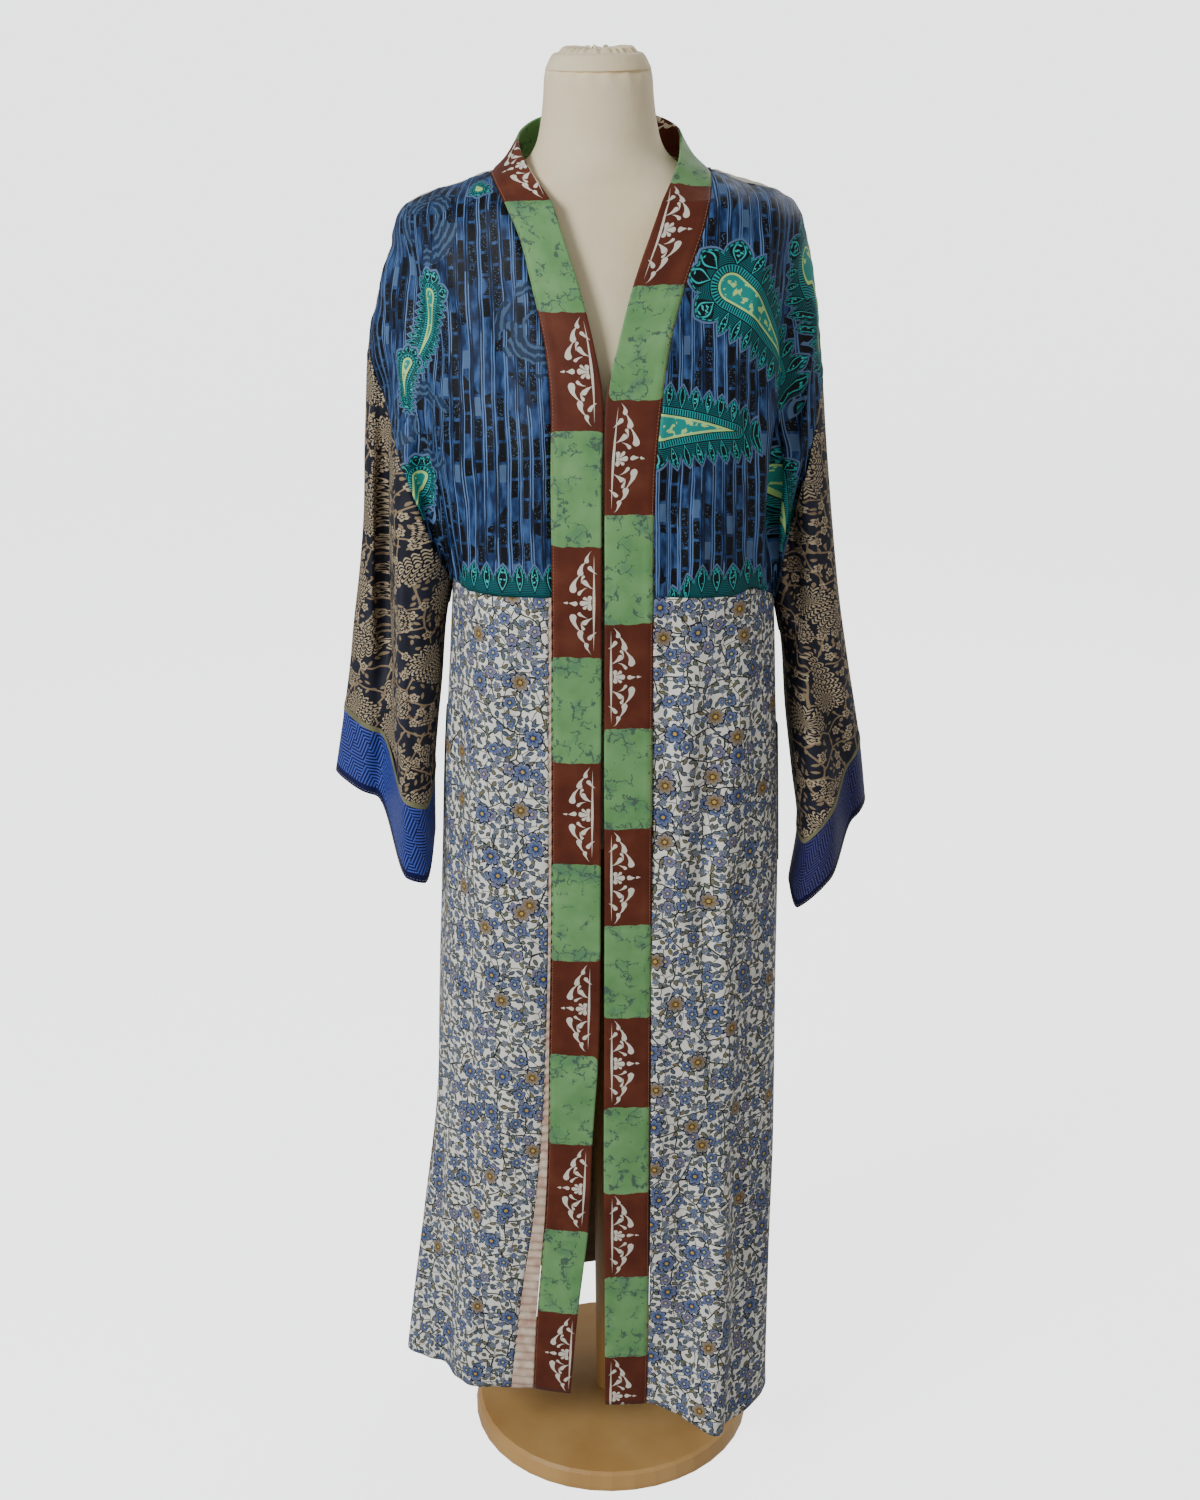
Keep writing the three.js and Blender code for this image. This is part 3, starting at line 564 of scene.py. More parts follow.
# The main creases: from one place to another seen from a side, then width and depth
CREASES = {
    "right_front": Table("a0 z0 a1 z1 width depth",
                         [-188, 1385, -150, 1250, 12, -4.0], [-150, 1405, -120, 1290, 10, 2.2],
                         [-172, 1250, -158, 1062, 9, -4.5], [-146, 1270, -143, 1062, 11, 3.4],
                         [-118, 1180, -128, 1066, 9, -2.2], [-92, 1330, -70, 1210, 12, -1.8],
                         [-100, 1225, -96, 1100, 14, 1.8], [-72, 1180, -78, 1070, 7, -1.6],
                         [-196, 1340, -168, 1180, 9, 3.2]),
    "left_front": Table("a0 z0 a1 z1 width depth",
                        [190, 1385, 168, 1262, 11, -3.6], [166, 1400, 138, 1280, 10, 2.2],
                        [193, 1352, 187, 1190, 10, -10.0], [187, 1235, 172, 1060, 11, -12.0],
                        [160, 1260, 160, 1070, 12, 2.8], [128, 1190, 140, 1075, 10, -2.0],
                        [104, 1340, 84, 1230, 12, -1.6], [100, 1150, 92, 1066, 9, 1.8],
                        [76, 1180, 72, 1075, 8, -1.4]),
    "right_skirt": Table("a0 z0 a1 z1 width depth",
                         [-78, 1030, -70, 700, 10, -2.6], [-102, 1035, -104, 560, 13, 2.4],
                         [-128, 1035, -140, 480, 10, -2.4], [-146, 1000, -168, 300, 12, 2.6],
                         [-86, 640, -100, 140, 11, 2.2], [-116, 560, -136, 130, 13, -3.4],
                         [-160, 560, -196, 150, 12, -3.6], [-64, 820, -66, 480, 6, 1.6]),
    "left_skirt": Table("a0 z0 a1 z1 width depth",
                        [72, 1040, 62, 640, 11, -2.0], [96, 1046, 92, 560, 12, 2.2],
                        [120, 1046, 128, 420, 10, -2.6], [146, 1030, 152, 360, 11, 2.4],
                        [64, 560, 62, 150, 12, 1.8], [92, 480, 98, 110, 12, -3.0],
                        [130, 440, 140, 100, 10, 3.0], [158, 700, 162, 160, 9, -2.6]),
    "back_upper": Table("a0 z0 a1 z1 width depth",
                        [-168, 1390, -120, 1200, 13, -3.0], [165, 1390, 122, 1210, 12, -2.6],
                        [-170, 1260, -150, 1040, 10, 3.0], [172, 1250, 150, 1030, 11, 3.2],
                        [-60, 1380, -30, 1160, 16, 1.6], [40, 1350, 70, 1130, 14, -1.8],
                        [-100, 1200, -92, 1060, 10, -2.2], [110, 1190, 96, 1070, 9, 2.0],
                        [0, 1240, 6, 1070, 12, 1.8]),
    "back_skirt": Table("a0 z0 a1 z1 width depth",
                        [-150, 1030, -190, 200, 13, 3.0], [-96, 1040, -120, 160, 14, -3.4],
                        [-36, 1044, -40, 200, 13, 2.6], [24, 1044, 30, 150, 15, -3.0],
                        [84, 1040, 96, 180, 12, 2.8], [140, 1030, 156, 160, 11, -3.2]),
    "right_sleeve": Table("a0 z0 a1 z1 width depth",
                          [-198, 1230, -196, 960, 8, 2.6], [-214, 1180, -222, 900, 9, -3.2],
                          [-186, 1060, -190, 850, 7, -2.4], [-236, 1200, -258, 900, 9, 2.6],
                          [-206, 980, -206, 800, 8, 2.2], [-201, 1262, -215, 790, 5, -6.0]),
    "left_sleeve": Table("a0 z0 a1 z1 width depth",
                         [204, 1240, 214, 960, 8, 2.8], [222, 1200, 240, 900, 8, -3.0],
                         [196, 1060, 206, 800, 7, -2.6], [232, 1100, 258, 820, 9, 2.4],
                         [212, 960, 226, 760, 8, 2.2]),
}


def relief(name, seed, face, wave=46, height=0.9, ridges=True):
    """The creases of one piece with slow ripples and small gathers at its sewn edges"""
    table = CREASES.get(name)
    marks = [tuple(row.values()) for row in table.rows] if table else []

    def lift(p, n, u, v, ends):
        total = ripples(u, v, seed, wave, height)
        total += crease(p, n, marks, face)
        if "sleeve" in name:
            behind = [(a0, z0 - 40, a1, z1 - 30, w, -d) for a0, z0, a1, z1, w, d in marks]
            total += 0.7 * crease(p, n, behind, "back")
        for key, along, pitch, tall in (("v0", u, 17, 0.35), ("v1", u, 23, 0.35), ("u0", v, 19, 0.3)):
            if ridges:
                total += puckers(along, ends[key], pitch, tall, 12, seed + len(key))
        return total
    return lift


# The pieces of the robe

STRIP_TOP, STRIP_FOOT, STRIP_START = 0.07, 0.5, 0.42
DETAIL = 1.0


def strip_width(drop):
    return mix(STRIP_TOP, STRIP_FOOT, ease(drop, STRIP_START, 1.1))


def fine(low, high, count):
    return np.linspace(low, high, max(int(count * DETAIL), 4) + 1)


def front_skirt(body):
    opening = strip_width if body == "right" else lambda drop: 0 * drop
    return skirt_piece(-1, lambda p, d: SIGN[body] * (mix(BAND_AT, DROP_SEAM, p) + opening(d) * (1 - p) ** 4))


def body_sided(body, surface):
    return lambda us, vs: surface(SIGN[body] * np.asarray(us, float), vs)


def strip_gathers(p, n, u, v, ends):
    return puckers(v, 0 * v, 11, 1.5, 1, 61)


POCKET = {body: skirt_piece(-1, lambda p, d, sign=sign: sign * p) for body, sign in SIGN.items()}
STRIP = skirt_piece(-1, lambda p, d: -mix(BAND_AT, BAND_AT + strip_width(d), p))
pieces = {}
for body in SIGN:
    side = -SIGN[body]
    part = body_sided(body, cloth)
    pieces[f"{body}_front_upper"] = shell(f"{body}_front_cloth", part, fine(BAND_AT, DROP_SEAM, 130),
                                          fine(0, 1, 130), side, edges="u0u1v1", start="front upper",
                                          relief=relief(f"{body}_front", 11 + side, "front", 52, 1.0))
    pieces[f"{body}_sleeve"] = shell(f"{body}_sleeve_cloth", part, fine(DROP_SEAM, CUFF_SEAM, 120),
                                     fine(-1, 1, 200), side, ring=True, edges="u0u1",
                                     start="sleeve",
                                     relief=relief(f"{body}_sleeve", 21 + side, "front", 60, 0.0, False))
    pieces[f"{body}_cuff"] = shell(f"{body}_cuff_cloth", part, fine(CUFF_SEAM, CUFF_END, 30),
                                   fine(-1, 1, 200), side, ring=True, edges="u0")
    pieces[f"{body}_cuff_piping"] = shell(f"{body}_piping_cloth", part,
                                          fine(CUFF_SEAM - 0.035, CUFF_SEAM + 0.035, 12),
                                          fine(-1, 1, 200), side, ring=True, thick=1.0, lift=0.8)
    pieces[f"{body}_front_skirt"] = shell(f"{body}_skirt_cloth", front_skirt(body), fine(0, 1, 110),
                                          fine(0, 1, 160), side, edges="u0u1v0", start="front skirt",
                                          relief=relief(f"{body}_skirt", 31 + side, "front", 44, 1.0))
    pieces[f"{body}_pocket"] = shell(f"{body}_pocket_cloth", POCKET[body], DROP_SEAM + fine(-0.5, 0.28, 24),
                                     fine(0.16, 0.33, 50), side, thick=1.0, lift=2.2)
    pieces[f"neck_band_{body}"] = shell(f"{body}_band_cloth", band(body), fine(0, 2, 420), fine(0.005, 1, 24),
                                        SIGN[body], thick=2.2, edges="v0")
pieces["back_upper"] = shell("back_cloth", cloth, fine(-DROP_SEAM, DROP_SEAM, 200), fine(-1, 0, 110), -1,
                             edges="u0u1v0", start="back upper",
                             relief=relief("back_upper", 41, "back", 60, 0.9))
pieces["back_skirt"] = shell("back_skirt_cloth", skirt_piece(1, lambda p, d: p),
    fine(-DROP_SEAM, DROP_SEAM, 200), fine(0, 1, 120), 1, edges="u0u1v0", start="back skirt",
    relief=relief("back_skirt", 51, "back", 50, 1.0))
pieces["satin_strip"] = shell("satin_strip_cloth", STRIP, fine(0, 1, 16), fine(0, 1, 420), 1,
                              relief=strip_gathers)


def stitches(name, path, out, pitch, length, thick):
    """A row of small straight stitches that lie on the cloth, each a bar with pointed ends"""
    gone = np.concatenate([[0], np.cumsum(np.linalg.norm(np.diff(path, axis=0), axis=-1))])
    count = int(gone[-1] / pitch)
    middles = (np.arange(count) + 0.5) * pitch
    spot = [np.stack([np.interp(middles + off, gone, path[:, k]) for k in range(3)], -1)
        for off in (-length / 2, length / 2)]
    up = np.stack([np.interp(middles, gone, out[:, k]) for k in range(3)], -1)
    ahead = spot[1] - spot[0]
    beside = np.cross(up, ahead)
    beside /= np.linalg.norm(beside, axis=-1, keepdims=True)
    rows = []
    for place, size in ((0.0, 0.25), (0.2, 1.0), (0.8, 1.0), (1.0, 0.25)):
        middle = spot[0] + place * ahead
        for turn in np.arange(4) * np.pi / 2:
            rows.append(middle + size * thick / 2 * (np.cos(turn) * beside + np.sin(turn) * up))
    points = np.stack(rows, 1).reshape(-1, 3) * MM
    bar = [(4 * r + k, 4 * r + (k + 1) % 4, 4 * r + 4 + (k + 1) % 4, 4 * r + 4 + k) for r in range(3)
        for k in range(4)]
    bar += [(3, 2, 1, 0), (12, 13, 14, 15)]
    sides = (np.array(bar)[None] + 16 * np.arange(count)[:, None, None]).reshape(-1, 4)
    return new_piece(name, points.tolist(), sides.tolist())


# Each row of stitches: the part it sews, its cloth, its own name, the line of the cloth's grid that it
# follows, then its pitch, length and thickness
STITCHES = [("neck_band_BODY", "BODY_band_cloth", "BODY_band_stitches", np.s_[:, 1], 3.4, 2.6, 0.6),
            ("BODY_cuff", "BODY_cuff_cloth", "BODY_cuff_stitches", np.s_[-2], 3.4, 2.2, 0.5),
            ("BODY_front_skirt", "BODY_skirt_cloth", "BODY_hem_stitches", np.s_[:, -3], 4.0, 2.4, 0.5)]
ROWS = [(body, *row) for body in SIGN for row in STITCHES]
ROWS.append(("back", "back_skirt", "back_skirt_cloth", *STITCHES[2][2:]))
SEWN = {}
for body, *names, line, pitch, length, thick in ROWS:
    node, cloth_name, name = (title.replace("BODY", body) for title in names)
    grid = SHELLS[cloth_name]
    SEWN[node] = [stitches(name, grid["p"][line], grid["n"][line], pitch, length, thick)]


def smooth_copy(node, levels):
    """The padded form's own shape with its facets rounded off"""
    source = bpy.data.objects[node]
    work = bmesh.new()
    work.from_mesh(source.data)
    work.transform(source.matrix_world)
    bmesh.ops.remove_doubles(work, verts=work.verts, dist=0.0004)
    bmesh.ops.join_triangles(work, faces=work.faces, angle_face_threshold=0.6, angle_shape_threshold=1.4)
    for _ in range(levels):
        bmesh.ops.subdivide_edges(work, edges=work.edges, cuts=1, use_grid_fill=True, smooth=0.6)
        for _ in range(3):
            bmesh.ops.smooth_vert(work, verts=work.verts, factor=0.5, use_axis_x=True, use_axis_y=True,
                use_axis_z=True)
    return new_piece(f"{node}_cover", work=work)


def gathered_cap():
    """The neck's gathered top: the jersey is drawn together towards the back of its middle"""
    source = bpy.data.objects["neck_cap"]
    corners = np.array([source.matrix_world @ v.co for v in source.data.vertices]) / MM
    low, high = corners.min(0), corners.max(0)
    middle, half = (low + high) / 2, (high - low) / 2
    turns = np.linspace(0, 2 * np.pi, 241)[:-1]
    rng = np.random.default_rng(5)
    gathers = sum(rng.uniform(0.5, 1) * np.sin(k * turns + rng.uniform(0, 6)) for k in (17, 23, 29, 34)) / 2
    rows = []
    for t in np.linspace(0, 1, 34):
        inside = ease(t, 0.2, 0.32)
        fold = 1.6 * gathers * inside * (1 - ease(t, 0.9, 1))
        shoulder = 0.78 * math.sin(math.pi * min(t / 0.2, 1) / 2)
        rise = (high[2] - low[2]) * (shoulder + 0.22 * ease(t, 0.22, 0.36) - 1.0 * ease(t, 0.5, 1))
        rise -= 2.2 * bump(t - 0.215, 0.02)
        rows.append(xyz(middle[0] + half[0] * (1 - t) * np.cos(turns),
            middle[1] + 8 * inside * t + half[1] * (1 - t) * np.sin(turns), low[2] + rise + fold))
    top = np.array(rows)
    base = xyz(top[0, :, 0], top[0, :, 1], low[2] - 1)
    points = np.concatenate([base, top.reshape(-1, 3)]) * MM
    wide = len(turns)
    sides = [(r * wide + k, r * wide + (k + 1) % wide, (r + 1) * wide + (k + 1) % wide, (r + 1) * wide + k)
             for r in range(len(rows)) for k in range(wide)]
    sides.append(tuple(range(wide))[::-1])
    return new_piece("neck_cap_gathers", points.tolist(), sides)


form_pieces = {"dress_form": smooth_copy("dress_form", 2), "neck_cap": gathered_cap()}


# Colours and cloth finishes

def tint(code, alpha=1.0):
    """An sRGB colour as #rrggbb turned into Blender's linear colour"""
    parts = [int(code[k:k + 2], 16) / 255 for k in (1, 3, 5)]
    return (*[c / 12.92 if c <= 0.04045 else ((c + 0.055) / 1.055) ** 2.4 for c in parts], alpha)


SIGNS = {"*": "MULTIPLY", "/": "DIVIDE", "+": "ADD", "-": "SUBTRACT", "<": "LESS_THAN", ">": "GREATER_THAN"}


def add(tree, kind, links=(), out=0, stops=None, hard=False, **settings):
    """Adds one node with its settings, sets or links its inputs, and gives back one output.
    A sign or an upper-case kind is a step of arithmetic. A Mix with its inputs in a row, which are the
    share of the second, the first and the second, mixes colours. stops are the colours of a ramp.
    An input given as a list is another node, its kind first, and one given as #rrggbb is a colour."""
    kind = SIGNS.get(kind, kind)
    if kind.isupper():
        kind, settings = "Math", {"operation": kind}
    if kind == "Mix" and not isinstance(links, dict):
        links, settings, out = dict(zip((0, 6, 7), links)), {"data_type": "RGBA"}, 2
    item = tree.nodes.new("ShaderNode" + kind)
    for name, value in settings.items():
        setattr(item, name, value)
    if stops:
        ramp = item.color_ramp
        ramp.interpolation = "CONSTANT" if hard else "LINEAR"
        low, high = stops[0][0], stops[-1][0]
        for k, (place, colour) in enumerate(stops):
            spot = (place - low) / (high - low) if high > low else 0
            stop = ramp.elements[k] if k < 2 else ramp.elements.new(spot)
            stop.position = spot
            stop.color = tint(colour)
        links = [["MapRange", links[0], low, high, 0, 1]]
    pairs = links.items() if isinstance(links, dict) else enumerate(links)
    for key, value in pairs:
        socket = item.inputs[key]
        if isinstance(value, list):
            value = add(tree, value[0], value[1:])
        if isinstance(value, str):
            value = tint(value)
        if isinstance(value, bpy.types.NodeSocket):
            tree.links.new(value, socket)
        else:
            socket.default_value = value
    return item.outputs[out]


def new_group(name, inputs, outputs):
    tree = bpy.data.node_groups.new(name, "ShaderNodeTree")
    for title, kind in inputs:
        tree.interface.new_socket(title, in_out="INPUT", socket_type="NodeSocket" + kind)
    for title, kind in outputs:
        tree.interface.new_socket(title, in_out="OUTPUT", socket_type="NodeSocket" + kind)
    given = tree.nodes.new("NodeGroupInput")
    end = tree.nodes.new("NodeGroupOutput")
    return tree, given.outputs, end


def drop_group():
    """A drop shape with a bent tail: its distance outside the edge and the way along the edge, in mm"""
    tree, given, end = new_group("drop", [("Place", "Vector"), ("Angle", "Float"), ("Head", "Float"),
                                          ("Length", "Float"), ("Bend", "Float")],
                                 [("Away", "Float"), ("Along", "Float")])
    put = partial(add, tree)
    turned = put("VectorRotate", {"Vector": given["Place"], "Angle": given["Angle"]}, rotation_type="Z_AXIS")
    split = put("SeparateXYZ", [turned])
    x, y = split.node.outputs[0], split.node.outputs[1]
    head, length = given["Head"], given["Length"]
    reach = put("/", [["MAXIMUM", y, 0.0], length])
    x = put("-", [x, ["*", ["*", reach, reach], ["*", given["Bend"], length]]])
    px = put("ABSOLUTE", [x])
    b = put("/", [head, length])
    a = put("SQRT", [["-", 1.0, ["*", b, b]]])
    out = put("+", [["*", a, px], ["*", b, y]])
    k = put("-", [["*", a, y], ["*", b, px]])
    radius = put("SQRT", [["+", ["*", x, x], ["*", y, y]]])
    past = put("-", [y, length])
    tip = put("SQRT", [["+", ["*", x, x], ["*", past, past]]])
    is_head = put("<", [k, 0.0])
    is_tip = put(">", [k, ["*", a, length]])
    side = put("Mix", {0: is_tip, 2: ["-", out, head], 3: tip})
    away = put("Mix", {0: is_head, 2: side, 3: ["-", radius, head]})
    along = put("Mix", {0: is_head, 2: k, 3: ["*", head, ["ARCTAN2", k, out]]})
    tree.links.new(away, end.inputs[0])
    tree.links.new(along, end.inputs[1])
    return tree


def flower_group():
    """A round flower: 1 at the petals' edge, 0 in its middle"""
    tree, given, end = new_group("flower", [("Place", "Vector"), ("Angle", "Float"), ("Size", "Float"),
                                            ("Petals", "Float"), ("Depth", "Float")], [("Ring", "Float")])
    put = partial(add, tree)
    split = put("SeparateXYZ", [given["Place"]])
    x, y = split.node.outputs[0], split.node.outputs[1]
    turn = put("+", [["ARCTAN2", x, y], given["Angle"]])
    petal = put("ABSOLUTE", [["COSINE", ["*", turn, ["*", given["Petals"], 0.5]]]])
    edge = put("*", [given["Size"], ["-", 1.0, ["*", given["Depth"], ["-", 1.0, petal]]]])
    radius = put("SQRT", [["+", ["*", x, x], ["*", y, y]]])
    tree.links.new(put("/", [radius, edge]), end.inputs[0])
    return tree


def leaf_ring_group():
    """Pointed leaves that stand on an edge: their colour and where they cover the ground"""
    tree, given, end = new_group("leaf ring", [("Away", "Float"), ("Along", "Float"), ("Pitch", "Float"),
                                               ("Tall", "Float")], [("Colour", "Color"), ("Cover", "Float")])
    put = partial(add, tree)
    away, along, pitch, tall = (given[k] for k in ("Away", "Along", "Pitch", "Tall"))
    phase = put("*", [["-", ["/", along, pitch], 0.5], math.pi])
    tent = put("ABSOLUTE", [["-", ["FRACT", ["/", along, pitch]], 0.5]])
    leaf = put("POWER", [["-", 1.0, ["*", tent, 2.0]], 0.6])
    edge = put("-", [away, ["*", tall, ["+", 0.42, ["*", leaf, 0.58]]]])
    colour = put("ValToRGB", [edge], hard=True, stops=[(-30, "#0a6a70"), (-3.6, "#041216"),
        (-2.7, "#1fa5a6"), (-1.0, "#041216"), (-0.2, "#5c769c"), (3, "#5c769c")])
    vein = put("-", [["ABSOLUTE", ["SINE", phase]], ["*", 0.66, ["SINE", ["*", ["/", away, tall], math.pi]]]])
    rows = put("<", [["FRACT", ["/", away, 1.7]], 0.45])
    colour = put("Mix", [["*", rows, ["<", edge, -3.6]], colour, "#041216"])
    colour = put("Mix", [["*", ["<", vein, 0.2], ["<", edge, -3.4]], colour, "#041216"])
    rim = put("*", [["<", ["ABSOLUTE", ["+", vein, 0.08]], 0.07], ["<", edge, -3.0]])
    colour = put("Mix", [rim, colour, "#2fb9b8"])
    dots = put("TexVoronoi", {"Vector": ["CombineXYZ", away, along, 0.0], "Scale": 0.38}, feature="F1")
    colour = put("Mix", [["*", ["<", dots, 0.34], ["<", vein, -0.2]], colour, "#35c3c0"])
    ticks = put("<", [["FRACT", ["/", along, 1.9]], 0.42])
    comb = put("*", [ticks, ["*", ["<", edge, -1.1], [">", edge, -2.5]]])
    colour = put("Mix", [comb, colour, "#06181c"])
    tree.links.new(colour, end.inputs[0])
    tree.links.new(put("<", [edge, 2.2]), end.inputs[1])
    return tree


DROP, FLOWER, LEAF_RING = drop_group(), flower_group(), leaf_ring_group()


def cloth_material(name, print_maker, gloss=0.42, sheen=0.08, weave=0.45, weave_height=0.05, slack=0.4,
        coat=0.0):
    """A cloth finish: its print, the weave's bump at real size, fine slackness and a soft sheen"""
    material = bpy.data.materials.new(name)
    material.use_nodes = True
    tree = material.node_tree
    put = partial(add, tree)
    shader = tree.nodes["Principled BSDF"]
    place = put("UVMap", uv_map="cloth_mm")
    colour = print_maker(tree, place)
    soil = put("TexNoise", {"Vector": place, "Scale": 0.012, "Detail": 3.0})
    shade = put("MapRange", [soil, 0.3, 0.7, 0.86, 1.0])
    colour = put("VectorMath", {0: colour, 1: ["CombineXYZ", shade, shade, shade]}, operation="MULTIPLY")
    tree.links.new(colour, shader.inputs["Base Color"])
    threads = [put("TexWave", {"Vector": place, "Scale": 0.31 / weave, "Distortion": 0.25, "Detail": 1.0},
                 bands_direction=way) for way in ("X", "Y")]
    twill = put("*", [threads[0], threads[1]])
    loose = put("TexNoise", {"Vector": place, "Scale": 0.045, "Detail": 4.0, "Roughness": 0.6})
    height = put("+", [["*", twill, weave_height], ["*", loose, slack]])
    bump_node = put("Bump", {"Strength": 1.0, "Distance": MM, "Height": height})
    tree.links.new(bump_node, shader.inputs["Normal"])
    rough = put("MapRange", [loose, 0.3, 0.7, gloss - 0.05, gloss + 0.07])
    tree.links.new(rough, shader.inputs["Roughness"])
    shader.inputs["Sheen Weight"].default_value = sheen
    shader.inputs["Sheen Roughness"].default_value = 0.35
    shader.inputs["IOR"].default_value = 1.5
    shader.inputs["Specular IOR Level"].default_value = 0.22
    shader.inputs["Coat Weight"].default_value = coat
    shader.inputs["Coat Roughness"].default_value = 0.3
    return material


def waved(tree, place, scale, detail, reach):
    """The place pushed about in mm by slow noise, so that lines on it look drawn by hand"""
    shift = add(tree, "TexNoise", {"Vector": place, "Scale": scale, "Detail": detail}, out="Color")
    return add(tree, "VectorMath", {0: shift, 1: (reach, reach, 0.0), 2: place}, operation="MULTIPLY_ADD")


def scattered(tree, place, size, seed):
    """Cells of one size in mm: the place inside each cell and its own random colour and turn"""
    put = partial(add, tree)
    moved = put("VectorMath", {0: place, 1: (seed * 37.0, seed * 91.0, 0.0)}, operation="ADD")
    cell = put("TexVoronoi", {"Vector": moved, "Scale": 1 / size, "Randomness": 0.85}, out="Position",
             voronoi_dimensions="2D")
    chance = cell.node.outputs["Color"]
    inside = put("VectorMath", {0: moved, 1: cell}, operation="SUBTRACT")
    values = put("SeparateColor", [chance]).node.outputs
    return inside, values[0], values[1], values[2]


# The prints, each made of ordinary motifs laid out at their size in millimetres

FULL_TURN = 6.28


# Each teal paisley: its head's place seen from the front, the way its tail points (0 is down,
# positive is towards the wearer's left), then its head, length and bend
PAISLEYS = {
    "left": Table("x z angle head length bend",
                  [122, 1335, 1.02, 14, 112, -0.26], [52, 1213, 1.66, 13, 74, -0.12],
                  [172, 1150, 0.1, 8, 70, 0.2], [203, 1345, 0.0, 14, 96, 0.2]),
    "right": Table("x z angle head length bend",
                   [-160, 1326, -0.2, 8, 66, -0.2], [-112, 1421, -2.6, 4, 9, -0.2],
                   [-186, 1262, -0.3, 5, 36, 0.2], [-178, 1150, -0.1, 7, 50, -0.2]),
}


def drop_shape(row):
    return {key: float(row[key.lower()]) for key in ("Angle", "Head", "Length", "Bend")}


